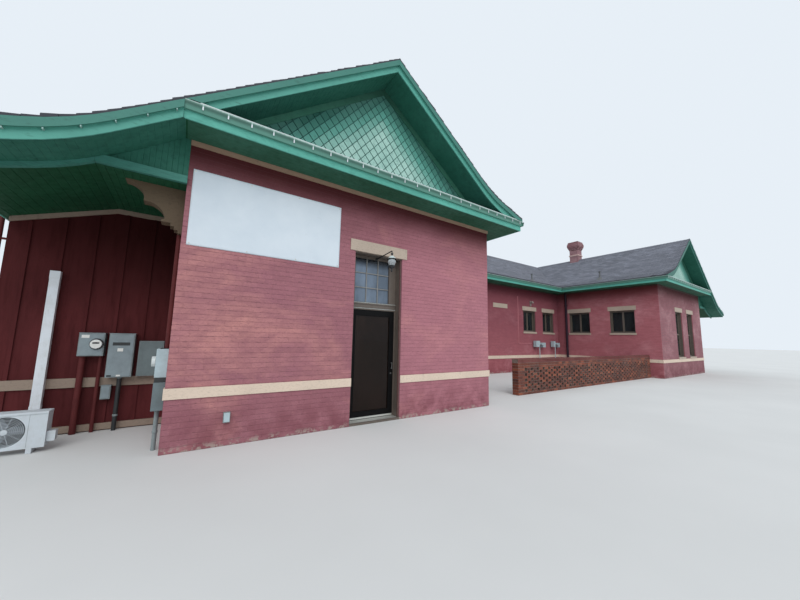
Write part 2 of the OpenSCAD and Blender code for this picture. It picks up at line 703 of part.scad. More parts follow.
module annex_trim() color(stone) {
    box([annex_left, annex_front - trim_t, belt_z], [-x_out, annex_front, belt_z + belt_h]);
    box([annex_left, annex_front - trim_t, base_z], [-x_out, annex_front, base_z + base_h]);
    difference() {
        translate([-x_ridge, 0, 0]) along_y(annex_front - trim_t, annex_front) annex_section();
        translate([-x_ridge, -1, -frieze_h]) along_y(annex_front - trim_t, annex_front + 2) annex_section();
    }
}

// Meter, panel and switch boxes: on the boarded wall, and on the near wing's side by its corner
board_face = annex_front - batten_t;
box_d = 170;
side_box_y = y_front + 150;
side_box_w = 280;
side_box_d = 110;
side_box_top = 1345;
dial_r = 70;
module service_boxes() color("#9a9c9a") {
    translate([-x_out, board_face, 0]) {
        box([-1185, -box_d, 1180], [-885, 0, 1535]);
        box([-830, -box_d - 20, 840], [-510, 0, 1535]);
        box([-455, -box_d + 40, 840], [-120, 0, 1420]);
        box([-870, -90, 495], [-750, batten_t - trim_t, 705]);
    }
    translate([-x_out - side_box_d, side_box_y, 0]) {
        box([0, 0, 962], [side_box_d, side_box_w, side_box_top]);
        box([-20, 0, 532], [side_box_d - stone_proud, side_box_w, 834]);
        for (x = [24, 66]) translate([x, side_box_w / 2, 834]) cylinder(r = 18, h = 128);
    }
    on_front_left() box([700, -50, 325], [785, 0, 465]);
}

// Glass meter domes on their rings
module dial() rotate([90, 0, 0]) {
    cylinder(r = dial_r + 14, h = 25);
    cylinder(r = dial_r, h = 75);
}
module meter_dials() color("#d8dcd8") {
    translate([-x_out - 972, board_face - box_d, 1367]) dial();
    translate([-x_out - side_box_d, side_box_y + side_box_w / 2, 1170]) rotate([0, 0, -90]) dial();
}

// Painted conduits, and the black and the plain ones by them
conduit_y = board_face - 60;
plain_y = side_box_y + side_box_w / 2;
line_x = -x_out - 1560;
line_y = annex_front - trim_t - 45;
line_r = 22;
line_z = 250;
riser_r = 32;
court_pipe = 22;
leader_off = outer_overhang - annex_w + gutter_w / 2;
leader_r = gutter_w / 2 - joint_gap;
leader_y = annex_front + 120;
module conduits() color("#7c3238") {
    translate([-x_out - 1135, conduit_y, 0]) cylinder(r = 40, h = 1180);
    translate([-x_out - 925, conduit_y + 10, 0]) cylinder(r = 25, h = 1180);
    translate([-x_out - riser_r - 2, side_box_y + 220, side_box_top])
        cylinder(r = riser_r, h = ceiling_z + foot_z - side_box_top);
    translate([annex_left - leader_off, leader_y, 0]) {
        cylinder(r = leader_r, h = outer_tip - gutter_drop - gutter_h);
        for (z = [300, 1700, 2900]) box([0, -15, z], [leader_off, 15, z + 30]);
    }
    translate([line_x, line_y, line_z]) {
        cylinder(r = line_r, h = cover_z - line_z);
        rotate([90, 0, 0]) cylinder(r = line_r, h = line_y - condenser_back);
        sphere(r = line_r);
    }
    on_court_back() {
        box([2120, -court_pipe, 1430], [2120 + court_pipe, 0, 3870]);
        box([2120, -court_pipe, 1430], [3260, 0, 1430 + court_pipe]);
    }
}
module black_conduit() color("#1c1c1e") translate([-x_out - 660, conduit_y - 20, 0])
    cylinder(r = 30, h = 840);
module plain_conduit() color("#b9bcb8") translate([-x_out - 70, plain_y, 0])
    cylinder(r = 27, h = 532);
cover_z = 410;
module line_cover() color("white") translate([-x_out, annex_front - trim_t, 0])
    box([-1615, -80, cover_z], [-1505, 0, 2470]);

// Gas meters on the rear wall of the court, each on its riser with its regulator
gas_z = 1260;
gas_h = 320;
gas_d = 170;
gas_off = 70;
gas_near = 90;
gas_pipe = 20;
gas_run = 18;
gas_dome = 70;
gas_dome_x = 165;
gas_body_x = 250;
gas_first = 2150;
gas_second = 650;
module gas_meter(case_w, body_w) {
    translate([0, -gas_off - gas_d / 2, 0]) {
        cylinder(r = gas_pipe, h = gas_z + gas_h);
        translate([-gas_near - 1, 0, gas_z + gas_h / 2]) rotate([0, 90, 0])
            cylinder(r = gas_run, h = gas_near + gas_body_x + 2);
    }
    box([-gas_near - case_w, -gas_off - gas_d, gas_z], [-gas_near, -gas_off, gas_z + gas_h]);
    box([gas_body_x, 25 - gas_off - gas_d, gas_z - 20], [gas_body_x + body_w, -gas_off, gas_z + gas_h - 90]);
    translate([gas_dome_x, 10 - gas_off, gas_z + gas_h / 2]) rotate([90, 0, 0])
        cylinder(r = gas_dome, h = gas_d + 10);
    translate([0, 0, gas_z + gas_h - 2 * gas_pipe]) rotate([90, 0, 0])
        cylinder(r = gas_run, h = gas_off + gas_d / 2);
}
module gas_meters() color("#9aa4a2") on_court_back() {
    translate([x_court - gas_first, 0, 0]) gas_meter(330, 230);
    translate([x_court - gas_second, 0, 0]) gas_meter(180, 140);
}

// Outdoor unit on its feet: cabinet with a sunk fan opening, and the valve cover on its end
condenser_w = 800;
condenser_d = 200;
condenser_h = 445;
condenser_foot = 65;
condenser_back = y_front + 1100;
condenser_x = -x_out - 2030;
fan_r = 185;
fan_x = 430;
module condenser() color("#e6e6e2") translate([condenser_x, condenser_back - condenser_d, 0]) {
    difference() {
        box([0, 0, condenser_foot], [condenser_w, condenser_d, condenser_foot + condenser_h]);
        translate([fan_x, -1, condenser_foot + condenser_h / 2]) rotate([-90, 0, 0])
            cylinder(r = fan_r, h = condenser_d - 60);
    }
    box([condenser_w, 40, condenser_foot + 55], [condenser_w + 80, condenser_d - 50, condenser_foot + 185]);
    for (x = [110, condenser_w - 160]) box([x, 0, 0], [x + 50, condenser_d, condenser_foot]);
}

// Lantern before the transom: arm, cap with its ball, base ring and drop
lantern_x = 3230;
lantern_y = -380;
globe_z = 2955;
globe_r = 76;
arm_z = 3165;
arm_h = 16;
arm_fall = 52;
arm_l = frame_y - lantern_y;
module at_lantern() translate([-x_out + lantern_x, y_front + lantern_y, 0]) children();
module lantern() color("#202426") at_lantern() {
    hull() {
        box([-7, 0, arm_z], [7, 1, arm_z + arm_h]);
        box([-7, arm_l - 1, arm_z - arm_fall], [7, arm_l, arm_z - arm_fall + arm_h]);
    }
    box([-25, arm_l - 8, arm_z - arm_fall - 18], [25, arm_l, arm_z - arm_fall + 26]);
    translate([0, 0, globe_z + globe_r - 8]) cylinder(r1 = 78, r2 = 30, h = 52);
    translate([0, 0, arm_z - 48]) sphere(r = 24);
    translate([0, 0, globe_z + globe_r + 40]) cylinder(r = 8, h = arm_z - globe_z - globe_r - 30);
    translate([0, 0, globe_z - globe_r - 26]) cylinder(r1 = 44, r2 = 68, h = 34);
    translate([0, 0, globe_z - globe_r - 62]) cylinder(r1 = 12, r2 = 30, h = 36);
    translate([0, 0, globe_z - globe_r - 84]) sphere(r = 20);
    translate([0, 0, globe_z - globe_r - 72]) cylinder(r = 9, h = 20);
}
module lantern_globe() color("#c8d0d2", 0.6) at_lantern() translate([0, 0, globe_z]) {
    translate([0, 0, 8 - globe_r]) cylinder(r1 = 46, r2 = globe_r, h = globe_r - 8);
    intersection() {
        sphere(r = globe_r);
        cylinder(r = globe_r + 1, h = globe_r - 8);
    }
}

// Small lamp high on the rear wall of the court
module court_lamp() color("#e2e2de") on_court_back() translate([3240, 0, 0]) {
    box([-50, -40, 3420], [50, 0, 3700]);
    translate([0, -39, 3590]) rotate([70, 0, 0]) cylinder(r1 = 35, r2 = 65, h = 130);
}

banner_w = 2280;
banner_h = 1120;
module banner() color("white") translate([-x_out + 60, y_front, 2790])
    box([0, -12.4, 0], [banner_w, -0.4, banner_h]);

// Downpipe on the far wing's court wall, by the inner corner, on straps
pipe_r = 60;
pipe_off = 20;
pipe_back = 550;
module downspouts() color("#1d3034") translate([x_court, y_court - pipe_back, 0]) {
    translate([-pipe_r - pipe_off, 0, 0]) cylinder(r = pipe_r, h = soffit_z);
    for (z = [400, 2000, 3600])
        box([-pipe_r - pipe_off, -pipe_r - pipe_off, z], [0, pipe_r + pipe_off, z + 30]);
}

// Brick screen: solid ends, foot and coping, and stretchers with half-brick gaps between
screen_y = y_front + screen_setback;
screen_x = -x_court + screen_gap;
brick_l = 203;
hole_w = 102;
hole_pitch = brick_l + hole_w;
foot_h = course;
screen_courses = floor((screen_h - 2 * foot_h - 2 * course) / course);
screen_l = x_court - screen_x;
module screen_holes() intersection() {
    translate([pier_w, 0]) square([screen_l - 2 * pier_w, screen_h]);
    for (i = [0:screen_courses - 1])
        for (x = [pier_w + (i % 2) * hole_pitch / 2:hole_pitch:screen_l - pier_w - hole_w])
            translate([x, foot_h + i * course]) square([hole_w, course]);
}
module screen_body() translate([screen_x, screen_y + screen_t, 0]) rotate([90, 0, 0])
    linear_extrude(screen_t) square([screen_l, screen_h]);
module screen_wall() color("#a4552f") translate([screen_x, screen_y + screen_t, 0]) rotate([90, 0, 0])
    linear_extrude(screen_t) difference() {
        square([screen_l, screen_h]);
        screen_holes();
    }

floor();
front_wall_left();
front_wall_right();
front_wall_over_door();
left_side_wall();
left_court_wall();
back_court_wall();
right_court_wall();
far_front_wall();
right_side_wall();
rear_wall();
belt_course();
lintels();
sills();
frieze();
door_casing();
door_frame();
door_leaf();
door_glass();
door_fittings();
window_frames();
window_glass();
left_roof();
main_roof();
right_roof();
gables();
pent_roofs();
rake_boards();
fascias();
gutters();
soffits();
wide_eave_ceilings();
eave_beams();
brackets();
chimney();
roof_vents();
annex_walls();
annex_battens();
annex_trim();
service_boxes();
meter_dials();
conduits();
black_conduit();
plain_conduit();
line_cover();
gas_meters();
condenser();
lantern();
lantern_globe();
court_lamp();
banner();
downspouts();
screen_wall();
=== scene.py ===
"""Looks of a brick railway station: finishes, bricks, shingles, boards and fittings round its frame."""

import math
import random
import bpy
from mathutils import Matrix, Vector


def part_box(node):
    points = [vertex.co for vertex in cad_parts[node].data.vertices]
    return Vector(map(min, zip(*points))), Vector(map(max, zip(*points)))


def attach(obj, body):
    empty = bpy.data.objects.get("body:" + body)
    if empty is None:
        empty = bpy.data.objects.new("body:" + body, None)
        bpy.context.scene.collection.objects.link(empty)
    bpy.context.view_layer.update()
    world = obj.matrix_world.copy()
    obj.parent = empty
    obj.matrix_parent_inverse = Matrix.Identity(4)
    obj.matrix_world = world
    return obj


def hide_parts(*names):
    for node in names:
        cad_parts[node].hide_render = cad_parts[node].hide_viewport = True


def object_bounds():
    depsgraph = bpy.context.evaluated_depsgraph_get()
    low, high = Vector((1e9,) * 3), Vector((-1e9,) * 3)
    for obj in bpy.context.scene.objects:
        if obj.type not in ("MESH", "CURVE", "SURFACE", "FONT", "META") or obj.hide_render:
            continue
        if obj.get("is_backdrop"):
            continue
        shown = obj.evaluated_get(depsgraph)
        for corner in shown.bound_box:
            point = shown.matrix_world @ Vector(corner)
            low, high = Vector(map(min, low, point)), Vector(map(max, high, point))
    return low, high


bl_info = {
    "name": "Railway station building",
    "version": (1, 0, 0),
    "blender": (4, 5, 0),
    "location": "3D View > Sidebar > Station",
    "description": "Models the station's bricks, shingles, boards and fittings and gives them their finishes",
    "category": "Object",
}

import bpy
from mathutils import Matrix, Vector

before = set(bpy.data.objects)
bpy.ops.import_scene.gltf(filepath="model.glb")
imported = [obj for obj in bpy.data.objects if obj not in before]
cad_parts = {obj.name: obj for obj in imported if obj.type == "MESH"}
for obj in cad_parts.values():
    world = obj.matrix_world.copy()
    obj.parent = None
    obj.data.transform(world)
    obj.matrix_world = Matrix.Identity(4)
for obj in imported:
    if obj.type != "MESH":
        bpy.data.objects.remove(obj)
frame_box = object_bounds()

# Places taken from the frame, in metres
FRONT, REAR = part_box("front_wall_left"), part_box("rear_wall")
X_OUT, Y_REAR = REAR[1].x, REAR[1].y
X_COURT = -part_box("front_wall_right")[1].x
X_RIDGE = (X_OUT + X_COURT) / 2
HALF = (X_OUT - X_COURT) / 2
Y_FRONT, SOFFIT_Z = FRONT[0].y, FRONT[1].z
Y_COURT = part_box("back_court_wall")[0].y
Y_RIDGE = Y_REAR - HALF
Y_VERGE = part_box("left_roof")[0].y
X_ANNEX, Y_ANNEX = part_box("annex_walls")[0].xy
FRIEZE_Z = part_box("frieze")[0].z
CEILING_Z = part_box("brackets")[1].z
HEAD_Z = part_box("lintels")[0].z
DOORWAY = tuple(corner.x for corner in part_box("door_casing"))
LEAF, SCREEN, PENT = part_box("door_leaf"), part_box("screen_wall"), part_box("pent_roofs")
PENT_FOOT = PENT[1].z - 0.090

# Sizes of the frame's pieces that its boxes don't give, in metres
RAKE_H = 0.240
CEILING_FLAT = 0.950
BOARD = 0.022
CHIMNEY = 0.520
HEAD_STEPS = (0.028, 0.060, 0.092, 0.107, 0.107, 0.084, 0.058)
SCREEN_PIER = 0.330
SCREEN_HOLE = 0.102
COPING = 0.108
COPING_BRICK = 0.066
STONES = ("lintels", "sills", "window_frames", "door_frame", "belt_course")
LEGS = ("left", "rear", "right")
TINY = 1e-4


def solids(node):
    """Lowest and highest corners of each separate solid in a node of the frame."""
    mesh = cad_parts[node].data
    spots = [tuple(round(c, 4) for c in v.co) for v in mesh.vertices]
    root = {spot: spot for spot in spots}

    def top(spot):
        while root[spot] != spot:
            root[spot] = root[root[spot]]
            spot = root[spot]
        return spot

    for edge in mesh.edges:
        a, b = (top(spots[i]) for i in edge.vertices)
        root[a] = b
    groups = {}
    for spot in root:
        groups.setdefault(top(spot), []).append(spot)
    return [tuple(Vector(end(axis) for axis in zip(*group)) for end in (min, max))
            for group in groups.values()]


def linear(*card):
    """A paint colour, from the 0 to 255 values of a colour card."""
    return tuple(c / 255 / 12.92 if c <= 10 else ((c / 255 + 0.055) / 1.055) ** 2.4 for c in card) + (1,)


def steps(start, end, pitch):
    """Even marks between two values, about a pitch apart."""
    count = max(1, round(abs(end - start) / pitch))
    return [start + (end - start) * i / count for i in range(count + 1)]


def length_value(label, text, default):
    """A length in the panel, in metres."""
    return bpy.props.FloatProperty(name=label, description=text, unit="LENGTH", default=default)


def angle_value(label, text, degrees):
    """An angle in the panel."""
    return bpy.props.FloatProperty(
        name=label, description=text, subtype="ANGLE", default=math.radians(degrees))


def colour_value(label, text, default):
    """A colour in the panel."""
    return bpy.props.FloatVectorProperty(
        name=label, description=text, size=4, subtype="COLOR", default=default)


class CameraSettings(bpy.types.PropertyGroup):
    place: bpy.props.FloatVectorProperty(
        name="Place", description="Where the camera stands", size=3, subtype="XYZ", unit="LENGTH",
        default=(-12.101, -10.80, 1.55))
    heading: angle_value("Heading", "Turn to the right of straight ahead", 34.249)
    pitch: angle_value("Pitch", "Tilt above the horizon", 6.956)
    roll: angle_value("Roll", "Turn about the line of sight", 1.193)
    lens: bpy.props.FloatProperty(
        name="Lens", description="Focal length on a 36 mm sensor", unit="CAMERA", default=14.214)


class BrickSettings(bpy.types.PropertyGroup):
    length: length_value("Length", "Length of a brick", 0.203)
    course: length_value("Course", "Height of a course with its joint", 0.076)
    joint: length_value("Joint", "Width of the level joints", 0.009)
    head_joint: length_value("Head joint", "Width of the upright joints", 0.0025)
    relief: length_value("Relief", "Depth of the joints", 0.0022)
    ease: length_value("Ease", "Width of a brick's worn edge", 0.003)
    fresh: colour_value("Fresh paint", "Colour of sound paint", (0.318, 0.131, 0.156, 1))
    worn: colour_value("Worn paint", "Colour of chalked paint", (0.49, 0.222, 0.208, 1))


class RoofSettings(bpy.types.PropertyGroup):
    exposure: length_value("Exposure", "Part of a shingle that shows", 0.140)
    butt: length_value("Butt", "Thickness of a shingle's lower edge", 0.007)
    tab: length_value("Tab", "Width of a shingle's tab", 0.300)
    cap: length_value("Cap", "Half width of a ridge cap", 0.140)
    verge: length_value("Verge", "Reach of the shingles over the verge boards", 0.061)
    colour: colour_value("Colour", "Colour of the shingles", (0.20, 0.21, 0.25, 1))


class TrimSettings(bpy.types.PropertyGroup):
    diamond: length_value("Diamond", "Width of a gable shingle across its corners", 0.188)
    diamond_tall: bpy.props.FloatProperty(
        name="Diamond height", description="Height of a gable shingle as a share of its width", default=1.2)
    board: length_value("Board", "Width of a ceiling board", 0.090)
    teal: colour_value("Teal", "Colour of the trim", linear(62, 118, 106))
    pale_teal: colour_value("Pale teal", "Colour of the gable shingles", linear(112, 164, 152))
    # The ceilings' green, deepened as painted shade under the eaves.
    deep_green: colour_value("Deep green", "Colour of the ceilings", (0.0085, 0.066, 0.029, 1))
    stone: colour_value("Stone", "Colour of the painted stone", (0.70, 0.565, 0.45, 1))
    boards: colour_value("Boards", "Colour of the boarded walls", (0.076, 0.0155, 0.0165, 1))


class UnitSettings(bpy.types.PropertyGroup):
    width: length_value("Width", "Width of the air unit's cabinet", 0.800)
    height: length_value("Height", "Height of the air unit's cabinet", 0.445)
    fan: length_value("Fan", "Radius of the fan's opening", 0.185)
    fan_x: length_value("Fan place", "Middle of the fan from the cabinet's left end", 0.430)


SETTINGS = {"camera": CameraSettings, "brick": BrickSettings, "roof": RoofSettings, "trim": TrimSettings,
            "unit": UnitSettings}


def settings(group):
    """The scene's values for one group of sizes and colours."""
    return getattr(bpy.context.scene, "station_" + group)


# Finishes
class Finish:
    """A node material, built from its coordinates to its shader."""

    def __init__(self, name, **sockets):
        self.material = bpy.data.materials.new(name)
        self.material.use_nodes = True
        self.nodes = self.material.node_tree.nodes
        self.links = self.material.node_tree.links
        self.shader = self.nodes["Principled BSDF"]
        self.normal = None
        for socket, value in sockets.items():
            self.shader.inputs[socket.replace("_", " ")].default_value = value

    def node(self, kind, inputs=None, **values):
        """Adds a node; inputs are constants or the sockets that feed it."""
        made = self.nodes.new("ShaderNode" + kind)
        for key, value in values.items():
            setattr(made, key, value)
        for socket, value in (inputs or {}).items():
            self.feed(made.inputs[socket], value)
        return made

    def feed(self, socket, value):
        if isinstance(value, bpy.types.NodeSocket):
            self.links.new(value, socket)
        else:
            socket.default_value = value

    def place(self, tall=1, source="Object"):
        """Coordinates on the piece, scaled in height."""
        return self.node("Mapping", {
            "Vector": self.node("TexCoord").outputs[source], "Scale": (1, 1, tall)}).outputs[0]

    def noise(self, scale, detail=3, rough=0.55, tall=1, warp=0.0):
        return self.node("TexNoise", {"Vector": self.place(tall), "Scale": scale, "Detail": detail,
                                      "Roughness": rough, "Distortion": warp}).outputs["Fac"]

    def attribute(self, name):
        return self.node("Attribute", attribute_name=name).outputs["Fac"]

    def axis(self, letter):
        return self.node("SeparateXYZ", {0: self.place()}).outputs[letter]

    def ramp(self, factor, *stops):
        """Colours or greys at places along a factor."""
        made = self.node("ValToRGB", {0: factor})
        ramp = made.color_ramp
        for _ in range(len(stops) - len(ramp.elements)):
            ramp.elements.new(0.5)
        for element, (where, colour) in zip(ramp.elements, stops):
            element.position = where
            element.color = colour if hasattr(colour, "__len__") else (colour, colour, colour, 1)
        return made.outputs[0]

    def fade(self, factor, start, end, low=0.0, high=1.0):
        return self.node("MapRange", {0: factor, 1: start, 2: end, 3: low, 4: high}).outputs[0]

    def calc(self, kind, a, b=0):
        """One step of arithmetic on factors."""
        return self.node("Math", {0: a, 1: b}, operation=kind).outputs[0]

    def both(self, a, b):
        """The product of two factors."""
        return self.calc("MULTIPLY", a, b)

    def mix(self, factor, a, b, kind="MIX"):
        return self.node("Mix", {0: factor, 6: a, 7: b}, data_type="RGBA", blend_type=kind).outputs[2]

    def stains(self, tint, *rows):
        """Lays colours over a tint in patches: each row is a colour, its noise and two stops of strength."""
        for colour, cloud, *stops in rows:
            factor = self.noise(*cloud) if isinstance(cloud, tuple) else cloud
            tint = self.mix(self.ramp(factor, *stops), tint, colour)
        return tint

    def bump(self, height, depth, strength=1.0):
        made = self.node("Bump", {"Height": height, "Distance": depth, "Strength": strength})
        if self.normal is not None:
            self.feed(made.inputs["Normal"], self.normal)
        self.normal = made.outputs[0]

    def done(self, colour, rough=None):
        """Feeds the shader and hands over the material."""
        for socket, value in (("Base Color", colour), ("Roughness", rough), ("Normal", self.normal)):
            if value is not None:
                self.feed(self.shader.inputs[socket], value)
        return self.material


def shade(colour, amount):
    """A colour made darker or lighter."""
    return tuple(min(1.0, c * amount) for c in colour[:3]) + (1,)


def tinge(colour, *amounts):
    """A colour with its red, green and blue scaled apart."""
    return tuple(c * amount for c, amount in zip(colour, amounts)) + (1,)


def painted_brick(name, fresh, worn, wear, dirt=1.0, joint=False, chip=None, bleach=0.0):
    """Brick under old paint: level chalked clouds, dark flecks in the bed joints, stains low down, soot and
    painted shade high up under the eaves, and painted shade in the court's inner corner.
    """
    f = Finish(name, Roughness=0.86, Specular_IOR_Level=0.2)
    height = f.axis("Z")
    clouds = f.noise(0.62, 5, 0.62, 1.35, 0.4)
    tint = f.stains(fresh, (worn, clouds, (wear - 0.04, 0.0), (wear + 0.15, 1.0)),
                    (shade(fresh, 0.80), (3.1, 4, 0.6, 2.6), (0.36, 0.45), (0.56, 0.0)),
                    (shade(worn, 1.12), (48, 4, 0.7, 1.7), (0.54, 0.0), (0.72, 0.45)))
    # Lighter from the doorway's left side to 0.4 m past its right side, by the given amount.
    tint = f.mix(f.fade(f.axis("X"), DOORWAY[0], DOORWAY[1] + 0.4, 0.0, bleach), tint, shade(fresh, 1.5))
    bed = f.fade(f.calc("MODULO", height, settings("brick").course), 0.004, 0.014, 1.0, 0.0)
    flecks = f.ramp(f.noise(17, 5, 0.72, 0.8), (0.48, 0.0), (0.60, 0.52))
    tint = f.mix(f.both(bed, flecks), tint, shade(fresh, 0.36))
    tint = f.stains(tint, (shade(fresh, 0.55), (24, 5, 0.74, 3.2), (0.33, 0.6), (0.46, 0.0)))
    if not joint:
        tone = f.fade(f.attribute("tone"), 0, 1, 0.96, 1.04)
        tint = f.mix(1.0, tint, f.node("CombineColor", {0: tone, 1: tone, 2: tone}).outputs[0], "MULTIPLY")
    # Soot colour, laid high up as soot in clouds and as painted shade of the eaves, strongest just under the
    # frieze; dirt sets how strong.
    soot = tinge(fresh, 0.22, 0.10, 0.09)
    high = f.fade(height, FRIEZE_Z - 1.1, FRIEZE_Z - 0.2, 0.0, 0.5 * dirt)
    tint = f.mix(f.both(high, f.fade(clouds, 0.1, 0.42)), tint, soot)
    tint = f.mix(f.fade(height, FRIEZE_Z - 0.5, FRIEZE_Z - 0.08, 0.0, 0.97 * dirt), tint, soot)
    if chip:
        # Painted shade in the court's inner corner, stronger higher up; the chip's point also switches this
        # on.
        aside = f.fade(f.calc("ABSOLUTE", f.axis("X")), -X_COURT - 0.7, -X_COURT)
        corner = f.both(f.fade(f.axis("Y"), Y_COURT - 0.7, Y_COURT), aside)
        tint = f.mix(f.both(corner, f.fade(height, 0.6, 2.6, 0.1, 0.5)), tint, tinge(fresh, 0.3, 0.2, 0.28))
    splash = f.both(f.fade(height, 0.85, 0.1, 0.0, 0.85), f.fade(f.noise(4, 4), 0.3, 0.6))
    tint = f.mix(splash, tint, tinge(fresh, 0.62, 0.50, 0.52))
    bare = f.both(f.fade(height, 0.10, 0.03), f.ramp(f.noise(9, 5, 0.7), (0.50, 0.0), (0.56, 0.9)))
    tint = f.mix(bare, tint, linear(158, 142, 134))
    if chip:
        away = f.node("VectorMath", {0: f.place(), 1: chip}, operation="DISTANCE").outputs["Value"]
        rough_edge = f.calc("ADD", away, f.both(f.noise(14, 4, 0.7), 0.16))
        tint = f.mix(f.fade(rough_edge, 0.165, 0.150), tint, linear(214, 196, 186))
    if joint:
        tint = f.mix(0.22, tint, shade(fresh, 0.5))
    f.bump(f.noise(60, 4, 0.7), 0.003)
    f.bump(f.noise(13, 3, 0.6, 2.6), 0.005, 0.6)
    return f.done(tint, f.fade(flecks, 0.0, 0.6, 0.92, 0.80))


def bare_brick(name, light):
    """Orange-brown facing brick with sooty and pale spots."""
    f = Finish(name, Roughness=0.88)
    cards = ((0.0, (92, 48, 40)), (0.45, (134, 66, 48)), (0.8, (160, 80, 54)), (1.0, (186, 106, 76)))
    tint = f.ramp(f.attribute("tone"), *((where, shade(linear(*card), light)) for where, card in cards))
    tint = f.stains(tint, (linear(84, 54, 48), (3.2, 5, 0.65), (0.45, 0.0), (0.62, 0.6)),
                    (linear(196, 150, 128), (60, 4, 0.7), (0.56, 0.0), (0.7, 0.5)))
    f.bump(f.noise(85, 4, 0.7), 0.003)
    return f.done(tint)


def mortar(name, dark, pale):
    """Lime mortar, sooty in patches."""
    f = Finish(name, Roughness=0.95)
    tint = f.ramp(f.noise(30, 5, 0.7), (0.35, dark), (0.65, pale))
    tint = f.stains(tint, (linear(72, 52, 48), (2.5, 4), (0.42, 0.0), (0.6, 0.6)))
    f.bump(f.noise(120, 4), 0.002)
    return f.done(tint)


def concrete(name, dark, pale):
    """Trodden concrete with dark pits."""
    f = Finish(name, Roughness=0.9)
    tint = f.ramp(f.noise(4, 6, 0.68), (0.34, dark), (0.66, pale))
    tint = f.stains(tint, (linear(92, 80, 72), (70, 3, 0.7), (0.58, 0.0), (0.7, 0.5)))
    f.bump(f.noise(60, 4, 0.7), 0.003)
    return f.done(tint)


def painted_stone(name, colour, soot=0.5, court=None):
    """Stone under cream paint: pits, drips of dirt, chipped spots, and painted shade round the court."""
    f = Finish(name, Roughness=0.72)
    tint = f.stains(colour, (shade(colour, 0.86), (1.3, 5, 0.6), (0.4, 0.0), (0.65, 0.7)),
                    (shade(colour, 0.6), (24, 5, 0.7, 2), (0.3, 0.55), (0.5, 0.0)),
                    (shade(colour, 0.42), (7, 5, 0.75, 0.4), (0.6, 0.0), (0.72, soot)))
    if court:
        # Painted shade: the given dark colour where the stone lies behind the front or on the far wing.
        behind, beside = f.fade(f.axis("Y"), Y_FRONT + 0.01, Y_FRONT + 0.04), f.fade(f.axis("X"), -1.0, 1.0)
        tint = f.mix(f.calc("MAXIMUM", behind, beside), tint, court)
    f.bump(f.noise(55, 4, 0.65), 0.004)
    f.bump(f.noise(9, 3), 0.006, 0.5)
    return f.done(tint)


def painted_wood(name, colour, pale, rough=0.6, grain=1, peak=0.0):
    """Boards under paint: faded and dirty in streaks, with faint grain, and darker up in the gable as painted
    shade.
    """
    f = Finish(name, Roughness=rough, Specular_IOR_Level=0.22)
    streaks = f.noise(9, 5, 0.7, grain)
    tint = f.stains(colour, (pale, (1.1, 5, 0.62), (0.38, 0.0), (0.68, 0.8)),
                    (shade(colour, 0.45), streaks, (0.30, 0.4), (0.52, 0.0)),
                    (shade(pale, 1.25), (60, 3, 0.6), (0.66, 0.0), (0.76, 0.35)))
    # Painted shade: darker from 5.4 m up to 6.6 m, close under the verges.
    if peak:
        tint = f.mix(f.fade(f.axis("Z"), 5.4, 6.6, 0.0, peak), tint, shade(colour, 0.25))
    f.bump(f.noise(34, 4, 0.6, grain), 0.0015)
    f.bump(f.noise(5, 2), 0.004, 0.4)
    return f.done(tint, f.fade(streaks, 0.3, 0.7, rough + 0.14, rough - 0.06))


def shaded_boards(name, colour):
    """Dark red boards: streaked, with painted shade under the ceiling and towards the wall, paler low down.
    """
    f = Finish(name, Roughness=0.7, Specular_IOR_Level=0.09)
    streaks = f.noise(9, 5, 0.7, 0.12)
    tint = f.stains(colour, (shade(colour, 1.6), (1.1, 5, 0.62, 0.5), (0.38, 0.0), (0.68, 0.8)),
                    (shade(colour, 0.5), streaks, (0.32, 0.5), (0.52, 0.0)))
    # Painted shade: darker from 1.7 m up to 3.2 m under the ceiling, more towards the wall.
    high = f.fade(f.axis("Z"), 1.7, 3.2, 0.0, 0.9)
    inner = f.fade(f.axis("X"), X_ANNEX, -X_OUT - 0.3, 0.55, 1.0)
    tint = f.mix(f.both(high, inner), tint, tinge(colour, 0.28, 0.16, 0.13))
    f.bump(f.noise(34, 4, 0.6, 0.12), 0.0015)
    return f.done(tint, f.fade(streaks, 0.3, 0.7, 0.8, 0.62))


def asphalt(name, colour):
    """Granule-faced shingles: each tab its own grey, mottled and speckled."""
    f, size = Finish(name, Roughness=0.93), settings("roof")
    tabs = f.node("TexBrick", {
        "Vector": f.place(source="UV"), "Scale": 1.0, "Brick Width": size.tab, "Row Height": size.exposure,
        "Mortar Size": 0.004, "Mortar Smooth": 0.3, "Color1": (0, 0, 0, 1), "Color2": (1, 1, 1, 1),
        "Mortar": (0.5, 0.5, 0.5, 1)}, offset=0.5, squash=1.0)
    tint = f.ramp(tabs.outputs["Color"], (0.0, shade(colour, 0.62)), (0.5, colour),
                  (1.0, shade(colour, 1.35)))
    tint = f.stains(tint, (shade(colour, 0.8), (0.5, 4), (0.35, 0.0), (0.65, 0.5)),
                    (shade(colour, 0.35), (230, 2, 0.8), (0.44, 0.5), (0.60, 0.0)),
                    (shade(colour, 2.0), (170, 2, 0.8), (0.60, 0.0), (0.70, 0.5)))
    tint = f.mix(tabs.outputs["Fac"], tint, shade(colour, 0.25))
    f.bump(f.calc("SUBTRACT", 1.0, tabs.outputs["Fac"]), 0.005)
    f.bump(f.noise(240, 3, 0.7), 0.003)
    return f.done(tint)


